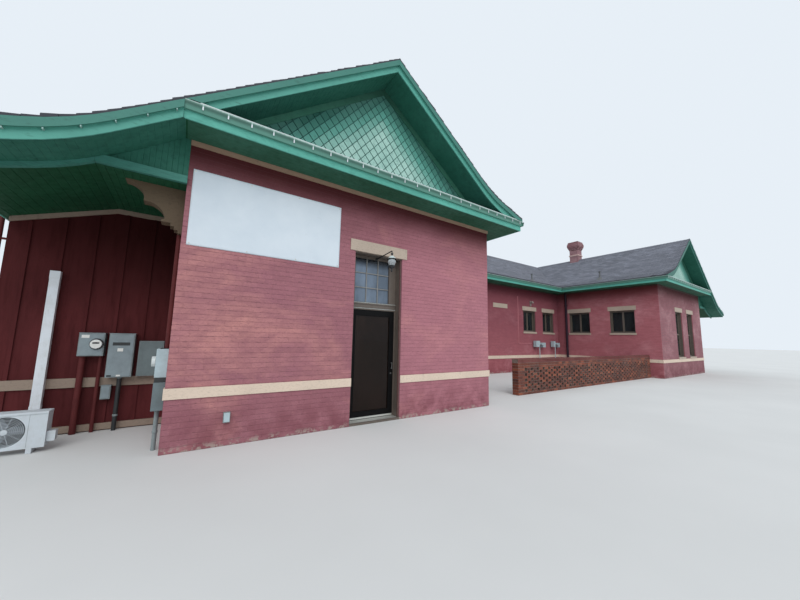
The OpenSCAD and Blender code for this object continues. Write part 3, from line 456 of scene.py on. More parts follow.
def gable_paint(name, colour, bleached):
    """Paint of the diamond shingles: lighter low in the middle as painted light, deeper close under the verge
    as painted shade.
    """
    f = Finish(name, Roughness=0.75, Specular_IOR_Level=0.2)
    # The tone runs from painted shade close under the verge to painted light low in the middle.
    tint = f.ramp(f.attribute("tone"), (0.0, tinge(colour, 0.14, 0.30, 0.26)),
                  (0.45, tinge(colour, 0.72, 0.98, 0.94)), (0.9, bleached))
    tint = f.stains(tint, (shade(colour, 0.9), (0.9, 4), (0.4, 0.0), (0.65, 0.4)),
                    (shade(colour, 0.5), (14, 5, 0.7), (0.52, 0.0), (0.68, 0.4)))
    f.bump(f.noise(40, 4, 0.6), 0.0015)
    return f.done(tint)


def rake_paint(name, crown, board):
    """Verge paint: one teal, as a painted shaded copy on the crown, which stands in front, and a painted lit
    copy on the flat board behind it; darker on the far wing.
    """
    f = Finish(name, Roughness=0.55, Specular_IOR_Level=0.3)
    # Painted shade on the crown and painted light on the flat board.
    tint = f.mix(f.fade(f.axis("Y"), Y_VERGE - 0.045, Y_VERGE - 0.035), crown, board)
    tint = f.mix(f.fade(f.axis("X"), -1.0, 1.0), tint, shade(crown, 0.75))
    tint = f.stains(tint, (shade(crown, 1.25), (1.1, 5, 0.62), (0.38, 0.0), (0.68, 0.5)),
                    (shade(crown, 0.5), (10, 5, 0.7, 3), (0.56, 0.0), (0.70, 0.5)))
    f.bump(f.noise(34, 4, 0.6), 0.0015)
    return f.done(tint)


def enamel(name, colour, rough=0.5, dirt=0.4, grime=None, metallic=0.0, scale=6.0, gloss=0.5):
    """Painted sheet metal with rubbed dirt and tiny runs."""
    f = Finish(name, Roughness=rough, Metallic=metallic, Specular_IOR_Level=gloss)
    grime = grime or shade(colour, 0.5)
    blotch = f.noise(scale, 5, 0.65)
    tint = f.stains(colour, (grime, blotch, (0.40, 0.0), (0.72, dirt)),
                    (grime, (scale * 6, 4, 0.7, 0.25), (0.58, 0.0), (0.74, dirt)))
    f.bump(f.noise(scale * 14, 3), 0.0006)
    return f.done(tint, f.fade(blotch, 0.3, 0.7, rough, rough + 0.18))


def pipe_paint(name, near, court):
    """Pipe paint: dark red beside the boarded walls, chalky pink on the court walls."""
    f = Finish(name, Roughness=0.6, Specular_IOR_Level=0.15)
    tint = f.stains(near, (shade(near, 0.5), (6, 5, 0.65), (0.40, 0.0), (0.72, 0.5)))
    tint = f.mix(f.fade(f.axis("X"), -X_OUT + 0.5, -X_OUT + 1.5), tint, court)
    f.bump(f.noise(80, 3), 0.0006)
    return f.done(tint)


def pent_marks():
    """Places of the hangers along the near pent roof's gutter."""
    return steps(PENT[0].x + 0.15, -(X_RIDGE - COURT_REACH) - 0.1, 0.295)


def gutter_paint(name, colour, grime):
    """Dull green gutter paint, lighter lower down as painted light, worn to a pale lip and pale hangers' ends
    along the pent roof's foot.
    """
    f = Finish(name, Roughness=0.5)
    height, blotch = f.axis("Z"), f.noise(3.0, 5, 0.65)
    tint = f.stains(colour, (grime, blotch, (0.40, 0.0), (0.72, 0.5)),
                    (grime, (18, 4, 0.7, 0.25), (0.58, 0.0), (0.74, 0.5)))
    # Painted light: lighter from 45 mm to 85 mm below the pent roof's foot and all the way below.
    tint = f.mix(f.fade(height, PENT_FOOT - 0.045, PENT_FOOT - 0.085), tint, shade(colour, 1.7))
    lip = f.both(f.fade(height, PENT_FOOT - 0.018, PENT_FOOT - 0.012),
                 f.ramp(f.noise(26, 4, 0.7), (0.4, 1.0), (0.6, 0.55)))
    marks = pent_marks()
    pitch = marks[1] - marks[0]
    along = f.calc("SUBTRACT", pitch * 1.5 - marks[0], f.calc("ABSOLUTE", f.axis("X")))
    away = f.calc("ABSOLUTE", f.calc("SUBTRACT", f.calc("MODULO", along, pitch), pitch / 2))
    tabs = f.both(f.fade(away, 0.0085, 0.0075), f.fade(height, PENT_FOOT - 0.036, PENT_FOOT - 0.034))
    tint = f.mix(f.calc("MAXIMUM", lip, tabs), tint, linear(158, 182, 174))
    return f.done(tint, f.fade(blotch, 0.3, 0.7, 0.45, 0.63))


def pane(name, tint, rough, see, streak=0.4, lintel=False):
    """Glass over a dark room whose tint is a painted reflection, with a film of dust, and a painted shadow
    close under a lintel.
    """
    f = Finish(name, Roughness=rough, Alpha=1.0 - see, IOR=1.3)
    dusty = f.stains(tint, (shade(tint, 2.2), (2.2, 5, 0.6, 0.5), (0.42, 0.0), (0.75, streak)))
    # Painted shadow of the lintel: darkening from 0.24 m below its underside, full from 0.10 m below it.
    if lintel:
        dusty = f.mix(f.fade(f.axis("Z"), HEAD_Z - 0.24, HEAD_Z - 0.10), dusty, shade(tint, 0.12))
    f.bump(f.noise(1.6, 2), 0.002, 0.35)
    return f.done(dusty, f.fade(f.noise(12, 4), 0.4, 0.8, rough, rough + 0.12))


def canvas(name, white, soiled):
    """White banner vinyl with a fine weave, creased and a little soiled."""
    f = Finish(name, Roughness=0.55)
    weave, weft = (f.node("TexWave", {"Vector": f.place(source="UV"), "Scale": 260.0},
                          bands_direction=way).outputs["Fac"] for way in "XY")
    tint = f.stains(white, (soiled, (1.4, 5, 0.6), (0.4, 0.0), (0.7, 0.6)),
                    (linear(176, 182, 188), (11, 5, 0.7), (0.62, 0.0), (0.75, 0.25)))
    f.bump(f.calc("ADD", weave, weft), 0.0004)
    return f.done(tint)


# Values for enamel, which makes the painted metal, the blinds and the labels
ENAMELS = {
    "tab_teal": ((0.29, 0.46, 0.42, 1), 0.5, 0.3),
    "pale_metal": (linear(196, 208, 206), 0.4, 0.3),
    "red_edge": (linear(84, 34, 36),),
    "window_bronze": (linear(112, 104, 86), 0.45),
    "tan_blind": (linear(150, 142, 108), 0.8, 0.3),
    "pale_blind": (linear(176, 182, 184), 0.8, 0.3),
    "fan_grey": (linear(110, 116, 122), 0.5, 0.3),
    "vent_grey": (linear(98, 100, 100), 0.6),
    "dull_lamp": (linear(150, 140, 134), 0.6),
    "unit_white": ((0.52, 0.565, 0.60, 1), 0.42, 0.3, (0.36, 0.35, 0.32, 1)),
    "dull_box": ((0.155, 0.20, 0.205, 1), 0.5, 0.4, (0.09, 0.11, 0.115, 1)),
    "slate_box": ((0.13, 0.17, 0.18, 1), 0.5, 0.5, (0.07, 0.08, 0.08, 1)),
    "pale_box": ((0.40, 0.50, 0.53, 1), 0.5, 0.4, (0.22, 0.26, 0.27, 1)),
    "grey_box": ((0.22, 0.26, 0.265, 1), 0.5, 0.5, (0.11, 0.115, 0.11, 1)),
    "blue_box": ((0.235, 0.29, 0.31, 1), 0.5, 0.4, (0.13, 0.15, 0.16, 1)),
    "worn_bronze": (linear(136, 134, 130),),
    "bronze": (linear(98, 88, 80), 0.4),
    "black_metal": (linear(10, 10, 11), 0.45, 0.3, linear(22, 20, 20), 0.0, 6.0, 0.12),
    "steel": (linear(128, 128, 126), 0.34, 0.4, None, 0.9),
    "bright_metal": (linear(206, 206, 200), 0.3, 0.3, None, 0.6),
    "white_enamel": ((0.70, 0.74, 0.78, 1), 0.42, 0.3, (0.42, 0.42, 0.38, 1)),
    "black_enamel": (linear(34, 38, 40), 0.42, 0.3, linear(64, 64, 62)),
    # Dark downpipe paint, deepened further as painted shade of the court's inner corner.
    "downpipe": (linear(46, 30, 42), 0.5, 0.4, None, 0.0, 6.0, 0.2),
    "white_label": (linear(228, 228, 222), 0.5, 0.2),
}


def finish_rows():
    """Maker and values of every other finish; some take the panel's colours."""
    fresh, worn, grey = settings("brick").fresh, settings("brick").worn, settings("roof").colour
    trim = settings("trim")
    # The last value of a brick row sets its soot and painted shade under the eaves.
    front = tuple(fresh), tuple(worn), 0.53, 1.0
    court = (0.385, 0.126, 0.145, 1), (0.48, 0.200, 0.222, 1), 0.54, 0.85
    chip = (-X_COURT, -4.02, 1.28)
    return {
        "front_brick": (painted_brick, *front, False, None, 0.5),
        "front_joint": (painted_brick, *front, True, None, 0.5),
        "court_brick": (painted_brick, *court, False, chip),
        "court_joint": (painted_brick, *court, True, chip),
        "far_brick": (painted_brick, (0.26, 0.12, 0.135, 1), (0.40, 0.22, 0.235, 1), 0.52, 0.8),
        "coping_brick": (painted_brick, (0.13, 0.038, 0.036, 1), (0.20, 0.075, 0.065, 1), 0.5, 0.0),
        "chimney_brick": (painted_brick, (0.26, 0.13, 0.14, 1), (0.36, 0.22, 0.23, 1), 0.5, 0.0),
        "bare_brick": (bare_brick, 0.55),
        "mortar": (mortar, linear(96, 82, 76), linear(142, 126, 116)),
        "concrete": (concrete, linear(112, 100, 90), linear(172, 158, 142)),
        "stone": (painted_stone, tuple(trim.stone)),
        "lintel_stone": (painted_stone, shade(trim.stone, 0.65)),
        # The frieze: the stone deepened as painted shade under the soffits, and near black as painted shade
        # round the court.
        "frieze_stone": (painted_stone, (0.34, 0.22, 0.15, 1), 0.4, (0.05, 0.022, 0.017, 1)),
        # The brackets: the stone darkened as painted shade under the wide eaves.
        "shaded_stone": (painted_stone, (0.110, 0.074, 0.041, 1), 0.9),
        "pale_band": (painted_stone, linear(196, 166, 158), 0.3),
        "dull_trim": (painted_stone, (0.285, 0.215, 0.165, 1), 0.6),
        "teal": (painted_wood, tuple(trim.teal), shade(trim.teal, 1.35), 0.5, 8),
        # The fascias: the trim teal lightened as painted light.
        "bright_teal": (painted_wood, shade(trim.teal, 1.9), shade(trim.teal, 2.4), 0.5, 3),
        "rake_teal": (rake_paint, tuple(trim.teal), shade(trim.teal, 1.9)),
        # The gable's edging, with painted shade up near the top.
        "edge_teal": (painted_wood, linear(56, 112, 92), linear(72, 128, 108), 0.55, 1, 0.6),
        # The gable wall, seen in the gaps between the diamonds: the teal deepened as painted shade.
        "groove_teal": (painted_wood, (0.02, 0.095, 0.08, 1), (0.03, 0.12, 0.10, 1), 0.7),
        "gable_teal": (gable_paint, tuple(trim.pale_teal), (0.44, 0.66, 0.58, 1)),
        # The ceilings: their green deepened as painted shade.
        "deep_green": (painted_wood, tuple(trim.deep_green), shade(trim.deep_green, 1.4)),
        "soffit_green": (painted_wood, (0.026, 0.105, 0.062, 1), (0.045, 0.15, 0.10, 1)),
        "verge_green": (painted_wood, linear(40, 98, 82), linear(56, 114, 98)),
        "boards": (shaded_boards, tuple(trim.boards)),
        "shingle": (asphalt, tuple(grey)),
        "cap_shingle": (enamel, shade(grey, 0.8), 0.9, 0.6, None, 0.0, 30.0),
        "gutter": (gutter_paint, linear(66, 108, 96), linear(46, 80, 68)),
        "red_pipe": (pipe_paint, (0.105, 0.022, 0.022, 1), (0.50, 0.20, 0.22, 1)),
        # The transom's tint is a painted reflection of the sky; the door's and windows' dark tints are
        # painted reflections over the dark rooms.
        "sky_glass": (pane, linear(98, 110, 124), 0.05, 0.1, 0.7, True),
        "dark_glass": (pane, linear(24, 15, 11), 0.04, 0.06, 0.9),
        "window_glass": (pane, linear(36, 42, 44), 0.03, 0.2),
        "globe_glass": (pane, linear(186, 194, 196), 0.08, 0.45),
        # The meters' domes: tinted near white and mostly opaque as painted light, so they read bright over
        # registers in shade.
        "dial_glass": (pane, linear(232, 236, 234), 0.1, 0.3),
        "canvas": (canvas, linear(210, 219, 226), linear(192, 204, 214)),
    }


MATERIALS = {}


def finish(name):
    """A finish by name, made once."""
    if name not in MATERIALS:
        maker, *values = (enamel, *ENAMELS[name]) if name in ENAMELS else finish_rows()[name]
        MATERIALS[name] = maker(name, *values)
    return MATERIALS[name]


NODE_FINISHES = {
    "front_joint": ("front_wall_left", "front_wall_right", "front_wall_over_door", "left_side_wall"),
    "court_joint": ("left_court_wall", "back_court_wall", "right_court_wall", "far_front_wall",
                    "right_side_wall", "rear_wall", "chimney"),
    "stone": ("belt_course",),
    "dull_trim": ("annex_trim",),
    "lintel_stone": ("lintels", "sills"),
    "frieze_stone": ("frieze",),
    "shaded_stone": ("brackets",),
    "concrete": ("floor",),
    "bronze": ("door_frame", "door_casing", "window_frames"),
    "black_metal": ("door_leaf",),
    "dark_glass": ("door_glass",),
    "steel": ("door_fittings",),
    "window_glass": ("window_glass",),
    "shingle": ("left_roof", "main_roof", "right_roof", "pent_roofs"),
    "groove_teal": ("gables",),
    "rake_teal": ("rake_boards",),
    "bright_teal": ("fascias",),
    "teal": ("eave_beams",),
    "gutter": ("gutters",),
    "deep_green": ("soffits", "wide_eave_ceilings"),
    "black_enamel": ("black_conduit", "lantern"),
    "vent_grey": ("roof_vents",),
    "dull_lamp": ("court_lamp",),
    "pale_box": ("gas_meters",),
    "boards": ("annex_walls", "annex_battens"),
    "grey_box": ("service_boxes", "plain_conduit"),
    "dial_glass": ("meter_dials",),
    "red_pipe": ("conduits",),
    "white_enamel": ("line_cover",),
    "unit_white": ("condenser",),
    "globe_glass": ("lantern_globe",),
    "downpipe": ("downspouts",),
    "mortar": ("screen_wall",),
}


# Meshes
def mesh_piece(name, points, faces, look, slot):
    """A piece of the building from computed points and faces, with a finish; the slot is not used."""
    mesh = bpy.data.meshes.new(name)
    mesh.from_pydata(points, [], faces)
    mesh.update()
    piece = bpy.data.objects.new(name, mesh)
    bpy.context.scene.collection.objects.link(piece)
    return dress(piece, look, slot)


def paint(piece, look):
    """Gives a piece one finish, in place of any it has."""
    piece.data.materials.clear()
    piece.data.materials.append(finish(look))


def dress(piece, look, slot, body="building"):
    """Gives a piece its finish and the body it rides on; the slot is not used."""
    paint(piece, look)
    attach(piece, body)
    return piece


def deselect():
    if bpy.context.object and bpy.context.object.mode != "OBJECT":
        bpy.ops.object.mode_set(mode="OBJECT")
    bpy.ops.object.select_all(action="DESELECT")


def pick(*pieces):
    """Selects only these pieces and makes the first the active one."""
    deselect()
    for piece in pieces:
        piece.select_set(True)
    bpy.context.view_layer.objects.active = pieces[0]


def settle(piece):
    """Puts a piece's place, turn and size into its mesh."""
    pick(piece)
    bpy.ops.object.transform_apply(location=True, rotation=True, scale=True)
    return piece


def added(maker, **values):
    """Adds one of Blender's ready shapes and settles it."""
    deselect()
    maker(**values)
    return settle(bpy.context.object)


def modify(piece, kind, **values):
    """Adds a modifier and applies it."""
    pick(piece)
    made = piece.modifiers.new(kind, kind)
    for key, value in values.items():
        setattr(made, key, value)
    bpy.ops.object.modifier_apply(modifier=made.name)
    return piece


def ease(piece, width, segments, **values):
    """Bevels a piece's sharp edges."""
    return modify(piece, "BEVEL", width=width, segments=segments, limit_method="ANGLE", **values)


def rounded(piece, bevel=0.0):
    """Eases a turned piece's rims, if asked, and smooths its round faces."""
    if bevel:
        ease(piece, bevel, 2)
    pick(piece)
    bpy.ops.object.shade_smooth_by_angle(angle=math.radians(40))
    return piece


def block(low, high, bevel=0.0, segments=1):
    """A box between two corners, with eased edges if asked."""
    deselect()
    low, high = Vector(low), Vector(high)
    bpy.ops.mesh.primitive_cube_add(size=1, location=(low + high) / 2)
    piece = bpy.context.object
    piece.scale = high - low
    settle(piece)
    return ease(piece, bevel, segments) if bevel else piece


def plate(low, high, bevel=0.006):
    """A box with rounder edges."""
    return block(low, high, bevel, 2)


def rod(start, end, radius, sides=16, bevel=0.0):
    """A round bar between two points."""
    start, end = Vector(start), Vector(end)
    return rounded(added(
        bpy.ops.mesh.primitive_cylinder_add, vertices=sides, radius=radius, depth=(end - start).length,
        location=(start + end) / 2, rotation=(end - start).to_track_quat("Z", "Y").to_euler()), bevel)


def ring(middle, radius, thick, sides, turn=(0, 0, 0)):
    """A round wire bent to a ring; sides are counted round the ring and round the wire."""
    return added(bpy.ops.mesh.primitive_torus_add, location=middle, rotation=turn, major_radius=radius,
                 minor_radius=thick, major_segments=sides[0], minor_segments=sides[1])


def joined(name, pieces, look, slot, body="building"):
    """Joins several pieces into one and dresses it."""
    pick(*pieces)
    if len(pieces) > 1:
        bpy.ops.object.join()
    piece = bpy.context.object
    piece.name = piece.data.name = name
    return dress(piece, look, slot, body)


def around(a0, a1, b0, b1):
    """The four corners of a rectangle, in turn."""
    return (a0, b0), (a1, b0), (a1, b1), (a0, b1)


def grid(n, rows, across=2):
    """Faces over rows of points that are numbered from n, with so many points across each row."""
    return [(k, k + 1, k + 1 + across, k + across)
            for row in range(rows - 1) for k in range(n + row * across, n + (row + 1) * across - 1)]


# Brickwork
EAST, NORTH, WEST, SOUTH = (1, 0, 0), (0, 1, 0), (-1, 0, 0), (0, -1, 0)


class Wall:
    """One face of brick: where it starts, which way it runs and faces, and the holes in it."""

    def __init__(self, start, along, length, top, holes=None, bottom=0.0):
        self.start, self.along = Vector(start), Vector(along)
        self.out = self.along.cross(Vector((0, 0, 1)))
        self.length, self.top, self.bottom = length, top, bottom
        self.holes = list(self.stones() if holes is None else holes)

    def point(self, s, z, depth):
        return tuple(self.start + self.along * s + self.out * depth + Vector((0, 0, z)))

    def stones(self):
        """Where stone, windows and the door break this face, from the frame's own solids."""
        for corners in (pair for node in STONES for pair in solids(node)):
            a, b = sorted((corner - self.start).dot(self.along) for corner in corners)
            back, face = sorted((corner - self.start).dot(self.out) for corner in corners)
            if face > -0.06 and back < 0.05 and b > 0 and a < self.length:
                yield a, b, corners[0].z, corners[1].z


def free_spans(wall, low, high):
    """Stretches of a course, with the height left between stone and openings."""
    marks = {0.0, wall.length}
    near = [h for h in wall.holes if h[2] < high - TINY and h[3] > low + TINY]
    for a, b, _, _ in near:
        marks.update(m for m in (a, b) if 0 < m < wall.length)
    marks = sorted(marks)
    for a, b in zip(marks, marks[1:]):
        z0, z1 = low, high
        for h in near:
            if h[0] < (a + b) / 2 < h[1]:
                if h[2] <= z0 + TINY:
                    z0 = max(z0, h[3])
                elif h[3] >= z1 - TINY:
                    z1 = min(z1, h[2])
        if z1 - z0 > 0.012 and b - a > 0.02:
            yield a, b, z0, z1


def raised(points, faces, rim, top):
    """One brick's raised face: four corners on the joint's plane, four in front and sloped edges between."""
    n = len(points)
    points += [*rim, *top]
    faces.append((n + 4, n + 5, n + 6, n + 7))
    faces += [(n + i, n + (i + 1) % 4, n + 4 + (i + 1) % 4, n + 4 + i) for i in range(4)]


def lay_bricks(wall, draws, points, faces, tones, length, course):
    """Lays one wall's bricks in stretcher bond."""
    size = settings("brick")
    shortest = 0.03
    pitch = length + size.head_joint
    for row in range(int((wall.top - wall.bottom) / course + 0.5)):
        low = wall.bottom + row * course + size.joint / 2
        high = min(low + course - size.joint, wall.top)
        shift = 0.5 * (row % 2)
        for a, b, z0, z1 in free_spans(wall, low, high):
            s = (math.floor(a / pitch - shift) + shift) * pitch
            if b - a < length + shortest:
                s, b = a, min(b, a + length)
            while s < b:
                s0, s1 = max(s, a), min(s + length, b)
                if s1 - s0 > shortest:
                    levels = (0.0, 0.0005), (size.ease, size.relief * draws.uniform(0.6, 1.3))
                    raised(points, faces, *([wall.point(*spot, depth) for spot in around(
                        s0 + inset, s1 - inset, z0 + inset, z1 - inset)] for inset, depth in levels))
                    tones.extend([draws.random()] * 5)
                s += pitch


def brick_piece(name, walls, look, seed, slot="brick", length=None, course=None):
    """All the bricks of some walls as one piece, each brick with its own tone."""
    size, draws = settings("brick"), random.Random(seed)
    points, faces, tones = [], [], []
    for wall in walls:
        lay_bricks(wall, draws, points, faces, tones, length or size.length, course or size.course)
    toned(mesh_piece(name, points, faces, look, slot), tones)


def toned(piece, tones):
    """Gives each face its own tone, which the finish reads."""
    piece.data.attributes.new("tone", "FLOAT", "FACE").data.foreach_set("value", tones)


def screen_gaps(length, turned):
    """The pierced openings of the brick screen, in alternate rows set half a pitch over."""
    size = settings("brick")
    pitch = size.length + SCREEN_HOLE
    for row in range(int((SCREEN[1].z - 4 * size.course) / size.course)):
        a = SCREEN_PIER + (row % 2) * pitch / 2
        while a < length - SCREEN_PIER - SCREEN_HOLE + TINY:
            low = (row + 1) * size.course
            start = length - a - SCREEN_HOLE if turned else a
            yield start, start + SCREEN_HOLE, low, low + size.course
            a += pitch


class STATION_OT_brickwork(bpy.types.Operator):
    """Lays the painted bricks of all the walls and the bare ones of the pierced screen"""

    bl_idname = "station.brickwork"
    bl_label = "Brickwork"

    def execute(self, context):
        front, court = X_OUT - X_COURT, Y_COURT - Y_FRONT
        rows = (("front_bricks", "front_brick", (-X_OUT, Y_FRONT, EAST, front, FRIEZE_Z),
                 (-X_OUT, Y_ANNEX, SOUTH, Y_ANNEX - Y_FRONT, CEILING_Z)),
                ("court_bricks", "court_brick", (-X_COURT, Y_FRONT, NORTH, court, FRIEZE_Z),
                 (X_COURT, Y_COURT, SOUTH, court, FRIEZE_Z),
                 (-X_COURT, Y_COURT, EAST, 2 * X_COURT, FRIEZE_Z)),
                ("far_front_bricks", "far_brick", (X_COURT, Y_FRONT, EAST, front, FRIEZE_Z)),
                ("right_side_bricks", "court_brick", (X_OUT, Y_FRONT, NORTH, 2 * Y_REAR, CEILING_Z)),
                ("rear_bricks", "court_brick", (X_OUT, Y_REAR, WEST, 2 * X_OUT, CEILING_Z)))
        for seed, (name, look, *walls) in enumerate(rows, 3):
            brick_piece(name, [Wall((x, y, 0), *run) for x, y, *run in walls], look, seed)
        self.screen()
        return {"FINISHED"}

    def screen(self):
        """Stretchers on both faces and the pier's end, under a coping of bricks on edge."""
        low, high = SCREEN
        length, depth = high.x - low.x, high.y - low.y
        foot, slot = high.z - COPING, "screen_brick"
        sides = ((low.x, low.y, 0), EAST), ((high.x, high.y, 0), WEST)
        faces = [Wall(*side, length, foot, screen_gaps(length, side[1] == WEST)) for side in sides]
        faces.append(Wall((low.x, high.y, 0), SOUTH, depth, foot, ()))
        brick_piece("screen_bricks", faces, "bare_brick", 8, slot)
        edges = [Wall(*side, length, high.z + 0.003, (), foot) for side in sides]
        brick_piece("screen_coping", edges, "coping_brick", 9, slot, COPING_BRICK, COPING)
        points, faces, tones, draws = [], [], [], random.Random(10)
        start, x = Vector((low.x, low.y, high.z)), 0.002
        while x < length - 0.06:
            levels = (0, 0), (0.003, draws.uniform(0.002, 0.006))
            raised(points, faces, *([tuple(start + Vector((*spot, z))) for spot in around(
                x + inset, x + COPING_BRICK - inset, inset, depth - inset)] for inset, z in levels))
            tones += [draws.random()] * 5
            x += COPING_BRICK + settings("brick").head_joint
        toned(mesh_piece("screen_coping_top", points, faces, "coping_brick", slot), tones)


# Roofing
def roof_profile():
    """Top of the roof across a range: run from its ridge, plus towards the court, and height."""
    top = {}
    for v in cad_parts["left_roof"].data.vertices:
        if abs(v.co.y - Y_VERGE) < TINY:
            run = round(v.co.x + X_RIDGE, 4)
            top[run] = max(v.co.z, top.get(run, 0))
    return sorted(top.items())


PROFILE = roof_profile()
OUTER_REACH, COURT_REACH = -PROFILE[0][0], PROFILE[-1][0]


def roof_z(run):
    """Top of the roof at one run, level beyond its eaves."""
    for (a, za), (b, zb) in zip(PROFILE, PROFILE[1:]):
        if a <= run <= b:
            return za + (zb - za) * (run - a) / (b - a)
    return PROFILE[0][1] if run < 0 else PROFILE[-1][1]


def rake_z(run):
    """Lower edge of the verge boards at one run."""
    return roof_z(run) - RAKE_H


def leg_ends(leg, run, front=Y_VERGE):
    """The two ends of the line at one run on one leg of the roof, as (x, y)."""
    if leg == "rear":
        return (-X_RIDGE + run, Y_RIDGE - run), (X_RIDGE - run, Y_RIDGE - run)
    x = (-1 if leg == "left" else 1) * (X_RIDGE - run)
    return (x, front), (x, Y_RIDGE - run)


def slope_points(side, step):
    """Runs and distances up one slope from its eave in equal steps along the slope."""
    found = COURT_REACH if side > 0 else OUTER_REACH
    runs, d, reach = [(side * found, 0.0)], 0.0, 0.02
    while found > 0:
        slope = (roof_z(side * max(found - reach, 0)) - roof_z(side * found)) / reach
        found -= step / math.hypot(1, slope)
        d += step
        if found > reach:
            runs.append((side * found, d))
    return runs


def shingle_slope(leg, side, name):
    """Courses of shingles on one slope, each course lapping the one below."""
    size, draws = settings("roof"), random.Random(name)
    marks = slope_points(side, size.exposure)
    points, faces, uvs = [], [], []
    for (run, d), (upper, _) in zip(marks, marks[1:] + [(0.0, None)]):
        front = Y_VERGE - size.verge + draws.uniform(0, 0.012)
        n = len(points)
        for reach, lift, along in ((run, 0.0005, d), (run, size.butt + 0.002, d),
                                   (upper, 0.0015, d + size.exposure)):
            for x, y in leg_ends(leg, reach, front):
                points.append((x, y, roof_z(reach) + lift))
                uvs.append((x if leg == "rear" else y, along))
        faces += grid(n, 3)
        if leg != "rear":
            lift = draws.uniform(0.014, 0.028) + (0.010 if side > 0 else 0.0)
            faces += verge_end(points, uvs, points[n::2], (run, upper), lift, d)
    piece = mesh_piece(name, points, faces, "shingle", "shingle")
    layer = piece.data.uv_layers.new(name="slope")
    for loop in piece.data.loops:
        layer.data[loop.index].uv = uvs[loop.vertex_index]
    face_up(piece)


def verge_end(points, uvs, edge, runs, lift, along):
    """The end of one course over the verge boards, tilted up by the drip edge and the starter strip."""
    n = len(points)
    low, lip, high = edge
    foot, head = (roof_z(run) - 0.010 for run in runs)
    inner = low[1] + 0.24
    lifted = [(*lip[:2], lip[2] + lift), (*high[:2], high[2] + lift * 0.8)]
    points += [(*low[:2], foot), *lifted, (*high[:2], head), low, *lifted,
               (high[0], inner, high[2] + 0.001), (lip[0], inner, lip[2] + 0.001), (low[0], inner, low[2])]
    uvs += [(0, 0)] * 4 + [(y, along + 0.1 * (i in (2, 3))) for i, (x, y, z) in enumerate(points[n + 4:])]
    quads = [(n, n + 3, n + 2, n + 1), (n + 5, n + 6, n + 7, n + 8), (n + 4, n + 5, n + 8, n + 9)]
    return quads if low[0] < high[0] else [quad[::-1] for quad in quads]


def height_at(x, y):
    """Top of the roof over a point, from its runs across the wing and across the rear range."""
    wing, rear = X_RIDGE - abs(x), Y_RIDGE - y
    if wing < 0 and rear < 0:
        return min(roof_z(wing), roof_z(rear))
    if wing < 0 or rear < 0:
        return roof_z(min(wing, rear))
    return max(roof_z(wing), roof_z(rear))


def cap_line(name, start, end, side):
    """Caps lapped along a ridge or hip from its low end, bent over it; side points down the first slope."""
    size = settings("roof")
    start, end, side = Vector(start), Vector(end), Vector(side).normalized()
    along = (end - start).normalized()
    points, faces = [], []
    for i in range(int((end - start).length / size.exposure)):
        a = start + along * i * size.exposure
        b = a + along * size.exposure * 1.05
        faces += grid(len(points), 3, 3)
        for spot, lift in ((a, 0.004), (a, 0.016), (b, 0.007)):
            for out, crown in ((side, 0.0), (Vector((0, 0)), 0.004), (-side, 0.0)):
                x, y = spot.x + out.x * size.cap, spot.y + out.y * size.cap
                points.append((x, y, height_at(x, y) + lift + crown))
    face_up(mesh_piece(name, points, faces, "cap_shingle", "shingle"))


def face_up(piece):
    """Turns faces that look down, so that every one looks out of the roof."""
    mesh = piece.data
    if any(p.normal.z < -TINY for p in mesh.polygons):
        pick(piece)
        bpy.ops.object.mode_set(mode="EDIT")
        bpy.ops.mesh.select_mode(type="FACE")
        bpy.ops.mesh.select_all(action="DESELECT")
        bpy.ops.object.mode_set(mode="OBJECT")
        for p in mesh.polygons:
            p.select = p.normal.z < -TINY
        bpy.ops.object.mode_set(mode="EDIT")
        bpy.ops.mesh.flip_normals()
        bpy.ops.object.mode_set(mode="OBJECT")


class STATION_OT_roofing(bpy.types.Operator):
    """Lays the roof's shingle courses and its ridge and hip caps"""

    bl_idname = "station.roofing"
    bl_label = "Roof shingles"

    def execute(self, context):
        for leg in LEGS:
            shingle_slope(leg, 1, leg + "_court_shingles")
            shingle_slope(leg, -1, leg + "_outer_shingles")
        tip = OUTER_REACH - 0.045
        for side, word in ((-1, "left"), (1, "right")):
            x = side * X_RIDGE
            cap_line(word + "_ridge_caps", (x, Y_VERGE), (x, Y_RIDGE), (-1, 0))
            cap_line(word + "_hip_caps", (x + side * tip, Y_RIDGE + tip), (x, Y_RIDGE), (side, -1))
        cap_line("rear_ridge_caps", (-X_RIDGE, Y_RIDGE), (X_RIDGE, Y_RIDGE), (0, -1))
        self.pent_courses()
        return {"FINISHED"}

    def pent_courses(self):
        """Short courses on the pent roofs, hidden from below but seen from the air."""
        size, points, faces = settings("roof"), [], []
        slope = (PENT[1].z - PENT_FOOT) / (Y_FRONT - Y_VERGE)
        for side in (-1, 1):
            ends = sorted((side * -PENT[0].x, side * (X_COURT - COURT_REACH + HALF)))
            y = Y_VERGE
            while y < Y_FRONT - 0.01:
                after = min(y + size.exposure, Y_FRONT)
                faces += grid(len(points), 3)
                for spot, lift in ((y, 0.0005), (y, size.butt), (after, 0.0015)):
                    points += [(x, spot, PENT_FOOT + slope * (spot - Y_VERGE) + lift) for x in ends]
                y = after
        face_up(mesh_piece("pent_shingles", points, faces, "cap_shingle", "shingle"))


